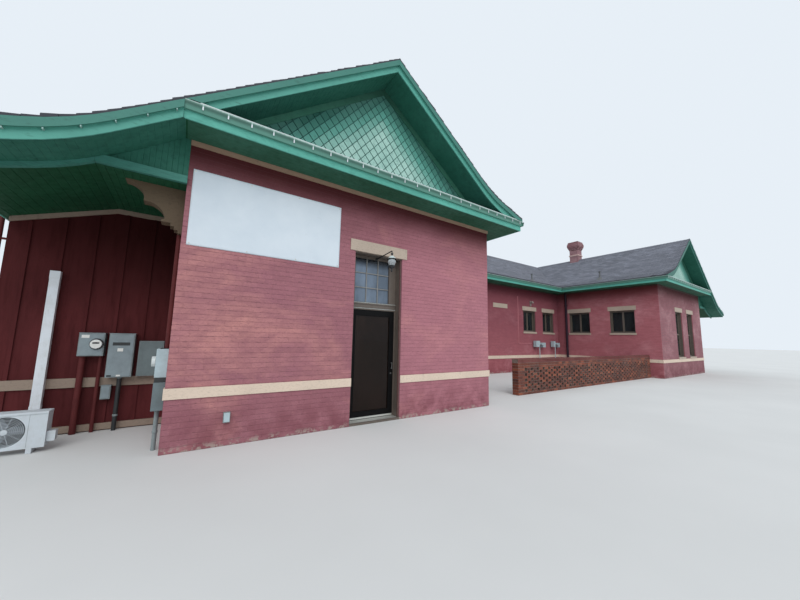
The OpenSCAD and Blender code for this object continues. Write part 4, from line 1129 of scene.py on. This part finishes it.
# Boards and trim
def lay_strips(marks, ends, lift, groove=0.006):
    """Boards side by side with grooves between; ends gives the two ends of the line at a mark."""
    lift = Vector(lift)
    points, faces = [], []
    for a, b in zip(marks, marks[1:]):
        n = len(points)
        inset = math.copysign(groove, b - a)
        for mark, out in ((a, 0), (a + inset, 1), (b - inset, 1), (b, 0)):
            points += [tuple(Vector(end) + lift * out) for end in ends(mark)]
        p, q, r = (Vector(points[n + i]) for i in (2, 3, 5))
        flip = (q - p).cross(r - p).dot(lift) < 0
        faces += [face[::-1] for face in grid(n, 4)] if flip else grid(n, 4)
    return points, faces


def board_piece(name, runs, look):
    """One piece from several stretches of boards."""
    points, faces = [], []
    for more, extra in runs:
        faces += [tuple(i + len(points) for i in face) for face in extra]
        points += more
    mesh_piece(name, points, faces, look, "green")


def ceiling_z(run):
    """Underside of the wide eaves' ceiling: level by the wall, then down to the fascia."""
    flat = HALF + CEILING_FLAT
    if -run <= flat:
        return CEILING_Z
    tip = rake_z(-OUTER_REACH) + 0.005
    return CEILING_Z + (tip - CEILING_Z) * (-run - flat) / (OUTER_REACH - BOARD - flat)


class STATION_OT_boarding(bpy.types.Operator):
    """Boards the eaves' ceilings and soffits, and shingles the gables in diamonds"""

    bl_idname = "station.boarding"
    bl_label = "Boards and gable shingles"

    def execute(self, context):
        pitch = settings("trim").board
        flat, soffit = HALF + CEILING_FLAT, []
        marks = steps(-HALF, -flat, pitch) + steps(-flat, -OUTER_REACH + BOARD, pitch)[1:]
        for leg in LEGS:
            ceiling = lay_strips(marks,
                                 lambda run: [(*xy, ceiling_z(run)) for xy in leg_ends(leg, run, Y_FRONT)],
                                 (0, 0, -0.005))
            board_piece(leg + "_ceiling_boards", [ceiling], "deep_green")
            soffit.append(lay_strips(steps(HALF, COURT_REACH - BOARD, pitch),
                                     lambda run: [(*xy, SOFFIT_Z) for xy in leg_ends(leg, run, Y_FRONT)],
                                     (0, 0, -0.004)))
        board_piece("court_soffit_boards", soffit, "soffit_green")
        self.fronts(pitch)
        self.diamonds("near_gable_diamonds", -X_RIDGE)
        self.diamonds("far_gable_diamonds", X_RIDGE)
        return {"FINISHED"}

    def fronts(self, pitch):
        """Boards of both fronts: level soffit, sloping soffits under the verges, and the closing panels."""
        level, sloping, closing, edging = [], [], [], []
        for side in (-1, 1):
            def across(run):
                return side * (X_RIDGE - run)

            ends = sorted((side * -PENT[0].x, across(COURT_REACH - BOARD)))
            level.append(lay_strips(steps(Y_VERGE + BOARD, Y_FRONT, pitch),
                                    lambda y: [(x, y, SOFFIT_Z) for x in ends], (0, 0, -0.004)))
            for outer, end in ((COURT_REACH - BOARD,) * 2, (-OUTER_REACH + BOARD, -HALF - 0.05)):
                sloping.append(lay_strips(
                    steps(0, outer, pitch * 0.8),
                    lambda run: [(across(run), y, rake_z(run)) for y in (Y_VERGE + 0.001, Y_FRONT)],
                    (0, 0, -0.004)))
                edging.append(self.trim_line(across, end))
            closing.append(lay_strips(
                steps(-HALF, -HALF - CEILING_FLAT, pitch * 0.7),
                lambda run: [(across(run), Y_FRONT - 0.001, z) for z in (CEILING_Z, rake_z(run))],
                (0, -0.004, 0), 0.005))
        board_piece("front_soffit_boards", level, "soffit_green")
        board_piece("verge_soffit_boards", sloping, "verge_green")
        board_piece("closing_boards", closing, "verge_green")
        board_piece("gable_edging", edging, "edge_teal")

    def trim_line(self, across, end):
        """A flat board along the foot of the gable's slope, over the ends of its shingles."""
        width, face = 0.140, Y_FRONT - 0.024
        points, faces = [], []
        for run in steps(0, end, 0.05):
            x, z = across(run), rake_z(run)
            if z - width > PENT[1].z - 0.12:
                n = len(points)
                faces += [(n + 2, n + 6, n + 5, n + 1), (n + 3, n + 7, n + 6, n + 2)]
                points += [(x, Y_FRONT, z), (x, face, z), (x, face, z - width), (x, Y_FRONT, z - width)]
        return points, faces[:-2]

    def diamonds(self, name, middle):
        """Diamond shingles over a gable, each lifted at its lower corner."""
        size = settings("trim")
        wide, tall = size.diamond / 2, size.diamond * size.diamond_tall / 2
        across, up = wide * 0.91, tall * 0.91
        back, face = Y_FRONT - 0.001, Y_FRONT - 0.008
        points, faces, tones = [], [], []
        for row in range(int((roof_z(0) - PENT_FOOT) / tall) + 1):
            z = PENT_FOOT + row * tall
            for i in range(-30, 31):
                run = (2 * i + row % 2) * wide
                if abs(run) < HALF and z + tall < roof_z(run) - 0.1:
                    x, n = middle + run, len(points)
                    points += [(x, Y_FRONT - 0.014, z - up), (x + across, face, z),
                               (x, Y_FRONT - 0.003, z + up), (x - across, face, z),
                               (x, back, z - up), (x + across, back, z), (x - across, back, z)]
                    faces += [(n, n + 1, n + 2, n + 3), (n, n + 4, n + 5, n + 1), (n + 3, n + 6, n + 4, n)]
                    # Tone by depth under the verge, which the finish paints as shade near it and as light
                    # further down.
                    tones += [max(0.0, min(1.0, (rake_z(run) - 0.1 - z) / 1.1))] * 3
        toned(mesh_piece(name, points, faces, "gable_teal", "green"), tones)


class STATION_OT_gutter_fittings(bpy.types.Operator):
    """Adds the gutters' rims and hangers"""

    bl_idname = "station.gutter_fittings"
    bl_label = "Gutter fittings"

    def execute(self, context):
        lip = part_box("gutters")[0].y
        rims, hangers, tabs = [], [], []
        for side in (1, -1):
            a, b = sorted((side * PENT[0].x, side * (COURT_REACH - X_RIDGE)))
            rims.append(block((a, lip, PENT_FOOT - 0.001), (b, lip + 0.012, PENT_FOOT + 0.014), 0.002))
            for x in (side * mark for mark in pent_marks()):
                for reach, foot, head in ((0.003, -0.080, -0.02), (0.09, -0.005, 0.001)):
                    hangers.append(block((x - 0.008, lip + 0.0005, PENT_FOOT + foot),
                                         (x + 0.008, lip + reach, PENT_FOOT + head)))
        for run in steps(OUTER_REACH - 0.69, HALF + 0.17, 0.27):
            x, z = -X_RIDGE - run, roof_z(-run) - 0.128
            tabs.append(block((x - 0.006, lip + 0.002, z - 0.016), (x + 0.006, Y_VERGE - BOARD, z + 0.002)))
        joined("gutter_rims", rims, "pale_metal", "gutter")
        joined("gutter_hangers", hangers, "white_enamel", "gutter")
        joined("verge_tabs", tabs, "tab_teal", "gutter")
        self.court_hangers()
        return {"FINISHED"}

    def court_hangers(self):
        """Straps across the court gutters, every second shingle tab."""
        top, edge, back = roof_z(COURT_REACH) - 0.05, X_RIDGE - COURT_REACH, Y_RIDGE - COURT_REACH
        half, reach, margin, pitch = 0.012, 0.061, 0.3, 0.6
        spots = [(*sorted((side * edge, side * (edge - reach))), y - half, y + half)
                 for y in steps(Y_VERGE + margin, back - margin, pitch) for side in (-1, 1)]
        spots += [(x - half, x + half, back - reach, back)
                  for x in steps(margin - edge, edge - margin, pitch)]
        straps = [block((x0, y0, top - 0.006), (x1, y1, top)) for x0, x1, y0, y1 in spots]
        joined("court_hangers", straps, "black_enamel", "gutter")


# Entrance, windows and fittings
class STATION_OT_entrance(bpy.types.Operator):
    """Adds the transom's bars and its pane with a painted sky reflection, the threshold and the leaf's foot
    strip and beads
    """

    bl_idname = "station.entrance"
    bl_label = "Entrance"

    def execute(self, context):
        (left, right), (low, high) = DOORWAY, LEAF
        face, half = low.y, 0.009
        x0, x1, z0, z1 = left + 0.110, right - 0.180, high.z + 0.156, HEAD_Z - 0.060
        bars = [block((x - half, face + 0.022, z0), (x + half, face + 0.040, z1), 0.003)
                for x in steps(x0, x1, (x1 - x0) / 3)[1:-1]]
        bars += [block((x0, face + 0.023, z - half), (x1, face + 0.040, z + half), 0.003)
                 for z in steps(z0, z1, (z1 - z0) / 3)[1:-1]]
        sky = block((x0 - 0.004, face + 0.041, z0 - 0.004), (x1 + 0.004, face + 0.044, z1 + 0.004))
        # Pale strips over the door head and the transom's lower rail: painted highlights along their edges.
        lines = [block((left + 0.022, face - 0.0135, z), (right - 0.022, face - 0.012, z + 0.005))
                 for z in (high.z + 0.036, high.z + 0.142)]
        sill = block((left + 0.03, face - 0.16, 0.040), (right - 0.03, face + 0.06, 0.0445), 0.002)
        edge = block((right - 0.034, Y_FRONT + 0.030, 0.041),
                     (right - 0.021, Y_FRONT + 0.036, HEAD_Z - 0.022), 0.001)
        joined("transom_bars", bars, "worn_bronze", "window_frame")
        joined("transom_panes", [sky], "sky_glass", "window_glass")
        joined("transom_lines", lines, "pale_metal", "window_frame")
        joined("threshold_plate", [sill], "bright_metal", "window_frame")
        joined("casing_edge", [edge], "red_edge", "window_frame")
        foot = block((low.x + 0.006, face - 0.006, low.z + 0.004),
                     (high.x - 0.006, face, low.z + 0.036), 0.001)
        joined("leaf_foot_strip", [foot], "bright_metal", "fittings", "door")
        (x0, _, z0), (x1, _, z1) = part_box("door_glass")
        front, back, half = face - 0.004, face + 0.012, 0.007
        beads = [block((x - half, front, z0 - half), (x + half, back, z1 + half), 0.002) for x in (x0, x1)]
        beads += [block((x0, front, z - half), (x1, back, z + half), 0.002) for z in (z0, z1)]
        joined("leaf_beads", beads, "black_metal", "door_metal", "door")
        return {"FINISHED"}


class STATION_OT_windows(bpy.types.Operator):
    """Adds blinds behind some court windows and glazing beads round the panes"""

    bl_idname = "station.windows"
    bl_label = "Windows"

    def execute(self, context):
        beads, back, side = [], [], []
        for low, high in solids("window_glass"):
            if high.z <= HEAD_Z - 0.065:
                wide = high.x - low.x >= high.y - low.y
                beads += self.beads(low, high, int(wide))
                if wide and abs(low.y - Y_COURT) < 0.4 and high.z - low.z < 1.2:
                    back.append((low, high))
                if not wide and abs(high.x - X_COURT) < 0.4:
                    side.append((low, high))
        joined("glazing_beads", beads, "window_bronze", "window_frame")
        back.sort(key=lambda box: box[0].x)
        side.sort(key=lambda box: box[0].y)
        for i, (look, rise) in enumerate((("tan_blind", 0.0), ("pale_blind", 0.35), ("pale_blind", 0.1))):
            low, high = back[i + 1]
            z = low.z + (high.z - low.z) * rise
            panel = block((low.x - 0.02, high.y + 0.05, z),
                          (high.x + 0.02, high.y + 0.056, high.z + 0.02), 0.002)
            joined(f"back_blind_{i}", [panel], look, "window_glass")
        low, high = side[1]
        slats = [block((high.x + 0.05, low.y - 0.02, z), (high.x + 0.075, high.y + 0.02, z + 0.006))
                 for z in steps(low.z + 0.05, high.z, 0.10)]
        joined("side_blind", slats, "pale_blind", "window_glass")
        return {"FINISHED"}

    def beads(self, low, high, thin):
        """Four slim bars round a pane, standing out on both its faces; thin is the axis across the pane."""
        made, half, stand = [], 0.006, 0.010
        for end in (low, high):
            for axis in (1 - thin, 2):
                a, b = Vector(low), Vector(high)
                a[thin] -= stand
                b[thin] += stand
                a[axis], b[axis] = end[axis] - half, end[axis] + half
                made.append(block(a, b))
        return made


class STATION_OT_banner(bpy.types.Operator):
    """Hangs the blank banner, creased from its tied corners"""

    bl_idname = "station.banner"
    bl_label = "Banner"

    def execute(self, context):
        low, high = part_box("banner")
        wide, tall = high.x - low.x, high.z - low.z
        deselect()
        bpy.ops.mesh.primitive_grid_add(x_subdivisions=96, y_subdivisions=48, size=1)
        cloth = bpy.context.object
        cloth.scale = (wide, tall, 1)
        cloth.rotation_euler = (math.radians(90), 0, 0)
        settle(cloth)
        for v in cloth.data.vertices:
            u, w = v.co.x / wide + 0.5, v.co.z / tall + 0.5
            edge = min(u, 1 - u, w, 1 - w)
            tug = sum(math.exp(-7 * math.hypot(u - a, (w - b) * 0.6)) for a in (0, 1) for b in (0, 1))
            crease = math.sin(26 * (u + w)) * 0.5 + math.sin(31 * (u - w) + 1.0) * 0.5
            wave = math.sin(5.2 * u + 2.2 * w) * 0.0012 + math.sin(12 * u - 3 * w) * 0.0006
            v.co.y = wave * min(1, edge * 6) + crease * tug * 0.0016
        cloth.location = ((low.x + high.x) / 2, low.y + 0.0048, (low.z + high.z) / 2)
        settle(cloth)
        modify(cloth, "SOLIDIFY", thickness=0.0008, offset=0)
        pick(cloth)
        bpy.ops.object.shade_smooth()
        joined("station_banner", [cloth], "canvas", "cloth")
        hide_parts("banner")
        hem = 0.03
        eyes = [rod((x, low.y + 0.001, z), (x, low.y + 0.003, z), 0.011)
                for x in steps(low.x + hem, high.x - hem, 0.74) for z in (low.z + hem, high.z - hem)]
        joined("banner_eyelets", eyes, "bright_metal", "fittings")
        return {"FINISHED"}


class STATION_OT_services(bpy.types.Operator):
    """Details the meter, panel and switch boxes, the line cover and the lantern"""

    bl_idname = "station.services"
    bl_label = "Service boxes"

    def execute(self, context):
        boxes = sorted(solids("service_boxes"), key=lambda box: box[0].x)
        doors, marks, darks = [], [], []
        for low, high in boxes[:3]:
            doors.append(self.cover(low, high, 0.012, 0.006, 0.012))
            doors.append(plate((low.x - 0.004, low.y - 0.004, high.z - 0.002),
                               (high.x + 0.004, high.y, high.z + 0.006), 0.002))
        joined("cabinet_door", [self.cover(*boxes[3], 0.012, 0.006, 0.012)], "dull_box", "box_grey")
        meter, panel = boxes[0], boxes[2] if boxes[1][1].z < 1 else boxes[1]
        for kind, (low, high), out, left, right, below, above in (
                (marks, meter, 0.0075, 0.03, 0.12, 0.075, 0.03),
                (marks, panel, 0.008, 0.115, 0.185, 0.285, 0.235),
                (darks, panel, 0.008, 0.05, 0.265, 0.190, 0.140),
                (darks, panel, 0.008, 0.02, 0.075, 0.680, 0.655),
                (marks, panel, 0.008, 0.135, 0.185, 0.680, 0.655)):
            kind.append(plate((low.x + left, low.y - out, high.z - below),
                              (low.x + right, low.y - 0.006, high.z - above), 0.001))
        (low, high), neck = boxes[4], (0.900, 0.965)
        for part, look, z0, z1, out in (("cover", "pale_box", neck[1], high.z, 0.007),
                                        ("foot", "slate_box", low.z, neck[0], 0.007),
                                        ("neck", "black_enamel", *neck, 0.002)):
            band = plate((low.x - out, low.y - out, z0), (high.x - 0.003, high.y - 0.004, z1), 0.004)
            joined("switch_box_" + part, [band], look, "box_grey")
        joined("outlet_lid", [self.cover(*boxes[5], 0.006, 0.004, 0.008, 0.002)], "pale_box", "box_grey")
        joined("box_doors", doors, "blue_box", "box_grey")
        joined("box_labels", marks, "white_label", "white")
        joined("box_dark_parts", darks, "black_enamel", "lantern")
        self.dials()
        self.pipes()
        self.lantern()
        return {"FINISHED"}

    def cover(self, low, high, side, thick, end, bevel=0.006):
        """A flat cover on a box's front, in from its edges."""
        return plate((low.x + side, low.y - thick, low.z + end), (high.x - side, low.y, high.z - end), bevel)

    def dials(self):
        """A black ring, a white register and its dark strip in each meter's dome."""
        rings, faces, strips = [], [], []
        for low, high in solids("meter_dials"):
            middle, deep = (low + high) / 2, high.y - low.y
            front = deep < max(high.x - low.x, 0.12)
            out, side = (Vector(way) for way in ((SOUTH, EAST) if front else (WEST, NORTH)))
            back = Vector((middle.x, high.y, middle.z) if front else (high.x, middle.y, middle.z))
            rings.append(ring(back + out * 0.025, 0.078, 0.008, (40, 10),
                              out.to_track_quat("Z", "Y").to_euler()))
            bpy.ops.object.shade_smooth()
            faces.append(rod(back + out * 0.0745, back + out * 0.0765, 0.062, 32))
            a = back + out * 0.0785 - side * 0.04 + Vector((0, 0, 0.005))
            b = back + out * 0.0765 + side * 0.04 + Vector((0, 0, 0.028))
            strips.append(block(*([end(pair) for pair in zip(a, b)] for end in (min, max))))
        joined("dial_rings", rings, "black_enamel", "lantern")
        joined("dial_registers", faces, "white_label", "dial")
        joined("dial_strips", strips, "black_enamel", "lantern")

    def pipes(self):
        """Straps and collars on the conduits, and the line cover's joints."""
        for node, name in (("black_conduit", "conduit_straps"), ("plain_conduit", "conduit_collars")):
            low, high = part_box(node)
            x, y, r = (low.x + high.x) / 2, (low.y + high.y) / 2, (high.x - low.x) / 2
            straps = [rod((x, y, z), (x, y, z + 0.03), r + 0.005, 20, 0.002) for z in (0.22, high.z - 0.03)]
            joined(name, straps, "grey_box", "box_grey")
        low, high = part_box("line_cover")
        cover = [plate((low.x - 0.004, low.y - 0.004, z), (high.x + 0.004, high.y, top), 0.003)
                 for z, top in ((low.z, low.z + 0.05), (high.z - 0.125, high.z + 0.003))]
        joined("cover_joints", cover, "white_enamel", "white")

    def lantern(self):
        """The lantern's pale cap and the dark bands above and below its globe."""
        low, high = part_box("lantern_globe")
        x, y = (low.x + high.x) / 2, (low.y + high.y) / 2
        cap = rounded(added(bpy.ops.mesh.primitive_cone_add, vertices=32, radius1=0.081, radius2=0.032,
                            depth=0.053, location=(x, y, high.z + 0.027)), 0.006)
        bands = [ring((x, y, z), r, 0.005, (32, 8))
                 for z, r in ((high.z - 0.004, 0.079), (low.z + 0.004, 0.050))]
        joined("lantern_cap", [cap], "pale_metal", "lantern")
        joined("lantern_bands", bands, "black_enamel", "lantern")


class STATION_OT_air_unit(bpy.types.Operator):
    """Puts the grille, fan, panel lines and a painted shadow under the lid on the outdoor air unit"""

    bl_idname = "station.air_unit"
    bl_label = "Outdoor air unit"

    def execute(self, context):
        size = settings("unit")
        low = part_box("condenser")[0]
        face, x, z = low.y, low.x + size.fan_x, 0.065 + size.height / 2

        def spot(depth):
            return Vector((x, face + depth, z))

        grille, radius = [], size.fan
        while radius > 0.03:
            grille.append(ring(spot(0.003), radius, 0.0022, (40, 6), (math.radians(90), 0, 0)))
            radius -= 0.017
        for i in range(10):
            turn = math.radians(36 * i)
            way = Vector((math.cos(turn), 0, math.sin(turn)))
            grille.append(rod(spot(0.004) + way * 0.03, spot(0.004) + way * size.fan, 0.002, 6))
        grille.append(rod(spot(0.001), spot(0.012), 0.034, 24, 0.003))
        joined("unit_grille", grille, "unit_white", "white")
        blades = []
        for i in range(3):
            blade = ease(block((0.010, -0.002, -0.045), (0.160, 0.002, 0.045)), 0.02, 3, affect="VERTICES")
            blade.rotation_euler, blade.location = (0, math.radians(120 * i), 0), spot(0.06)
            blades.append(settle(blade))
        blades.append(rod(spot(0.045), spot(0.085), 0.035, 20))
        joined("unit_fan", blades, "fan_grey", "white")
        joined("unit_back", [rod(spot(0.125), spot(0.138), size.fan - 0.002, 40)], "black_enamel", "white")
        right = low.x + size.width
        # The level strip just under the lid is drawn dark as painted shade in the gap there; the upright
        # strip is a seam.
        seams = [block((right - 0.165, face - 0.001, 0.075), (right - 0.162, face, 0.50)),
                 block((low.x + 0.01, face - 0.001, 0.478), (right - 0.01, face, 0.4805))]
        joined("unit_seams", seams, "grey_box", "white")
        lid = plate((low.x, face - 0.004, 0.482), (right + 0.004, face + 0.204, 0.512))
        joined("unit_lid", [lid], "unit_white", "white")
        return {"FINISHED"}


class STATION_OT_chimney(bpy.types.Operator):
    """Lays the chimney's bricks and its pale band"""

    bl_idname = "station.chimney"
    bl_label = "Chimney"

    def execute(self, context):
        low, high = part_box("chimney")
        course, count, half = settings("brick").course, len(HEAD_STEPS), CHIMNEY / 2
        x, y = (low.x + high.x) / 2, (low.y + high.y) / 2
        rings = [(half, roof_z(0) - 0.6, high.z - count * course)]
        rings += [(half + out, high.z - (count - i) * course, high.z - (count - 1 - i) * course)
                  for i, out in enumerate(HEAD_STEPS)]
        walls = []
        for r, bottom, top in rings:
            corners = around(-r, r, -r, r)
            for (x0, y0), (x1, y1) in zip(corners, corners[1:] + corners[:1]):
                along = Vector((x1 - x0, y1 - y0, 0)).normalized()
                walls.append(Wall((x + x0, y + y0, 0), along, 2 * r, top, (), bottom))
        brick_piece("chimney_bricks", walls, "chimney_brick", 12)
        band, z, lap = half + 0.036, high.z - 0.880 - course, 0.001
        stone = plate((x - band, y - band, z - lap), (x + band, y + band, z + course + lap), 0.008)
        joined("chimney_band", [stone], "pale_band", "brick")
        return {"FINISHED"}


# Stage
class STATION_OT_stage(bpy.types.Operator):
    """Sets the camera, the pale floor and the soft light"""

    bl_idname = "station.stage"
    bl_label = "Camera and stage"

    def execute(self, context):
        scene, view = context.scene, settings("camera")
        data = bpy.data.cameras.new("camera")
        camera = bpy.data.objects.new("camera", data)
        scene.collection.objects.link(camera)
        scene.camera = camera
        data.lens, data.sensor_width = view.lens, 36.0
        data.clip_start, data.clip_end = 0.1, 400
        level = Matrix.Rotation(-view.heading, 4, "Z")
        lifted = Matrix.Rotation(math.radians(90) + view.pitch, 4, "X")
        rolled = Matrix.Rotation(view.roll, 4, "Z")
        camera.matrix_world = Matrix.Translation(view.place) @ level @ lifted @ rolled

        deselect()
        bpy.ops.mesh.primitive_plane_add(size=400, location=(0, 0, -0.002))
        floor = bpy.context.object
        floor.name = "stage_floor"
        ground = Finish("stage_floor", Roughness=0.9)
        speckle = ground.ramp(ground.noise(0.4), (0.3, linear(206, 206, 204)), (0.7, linear(212, 212, 210)))
        floor.data.materials.append(ground.done(speckle))
        floor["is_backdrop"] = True

        world = bpy.data.worlds.new("studio")
        scene.world = world
        world.use_nodes = True
        light = world.node_tree.nodes["Background"]
        light.inputs[0].default_value = (0.86, 0.93, 1.0, 1)
        light.inputs[1].default_value = 0.93
        bpy.ops.object.light_add(type="SUN", location=(-20, -20, 30))
        sun = bpy.context.object
        sun.data.energy = 1.4
        sun.data.angle = math.radians(50)
        sun.rotation_euler = (math.radians(48), 0, math.radians(-24))
        scene.view_settings.view_transform = "Standard"
        return {"FINISHED"}


class STATION_OT_finishes(bpy.types.Operator):
    """Gives every carried-over node its finish"""

    bl_idname = "station.finishes"
    bl_label = "Finishes of the frame"

    def execute(self, context):
        for look, names in NODE_FINISHES.items():
            for name in names:
                paint(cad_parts[name], look)
        return {"FINISHED"}


OPERATORS = [STATION_OT_stage, STATION_OT_finishes, STATION_OT_brickwork, STATION_OT_roofing,
             STATION_OT_boarding, STATION_OT_gutter_fittings, STATION_OT_entrance, STATION_OT_windows,
             STATION_OT_banner, STATION_OT_services, STATION_OT_air_unit, STATION_OT_chimney]


class STATION_PT_panel(bpy.types.Panel):
    bl_idname = "STATION_PT_panel"
    bl_label = "Railway station"
    bl_space_type = "VIEW_3D"
    bl_region_type = "UI"
    bl_category = "Station"

    def draw(self, context):
        for operator in OPERATORS:
            self.layout.operator(operator.bl_idname)
        for group in SETTINGS:
            box = self.layout.box()
            box.label(text=group.capitalize())
            for key in SETTINGS[group].__annotations__:
                box.prop(settings(group), key)


CLASSES = [*SETTINGS.values(), *OPERATORS, STATION_PT_panel]


def register():
    for cls in CLASSES:
        bpy.utils.register_class(cls)
    for group, kind in SETTINGS.items():
        setattr(bpy.types.Scene, "station_" + group, bpy.props.PointerProperty(type=kind))


def unregister():
    for group in SETTINGS:
        delattr(bpy.types.Scene, "station_" + group)
    for cls in reversed(CLASSES):
        bpy.utils.unregister_class(cls)


def main():
    register()
    for operator in OPERATORS:
        group, name = operator.bl_idname.split(".")
        getattr(getattr(bpy.ops, group), name)()
    sizes = {"cad": frame_box, "visual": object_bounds()}
    {key: [list(corner) for corner in box] for key, box in sizes.items()}


if __name__ == "__main__":
    main()
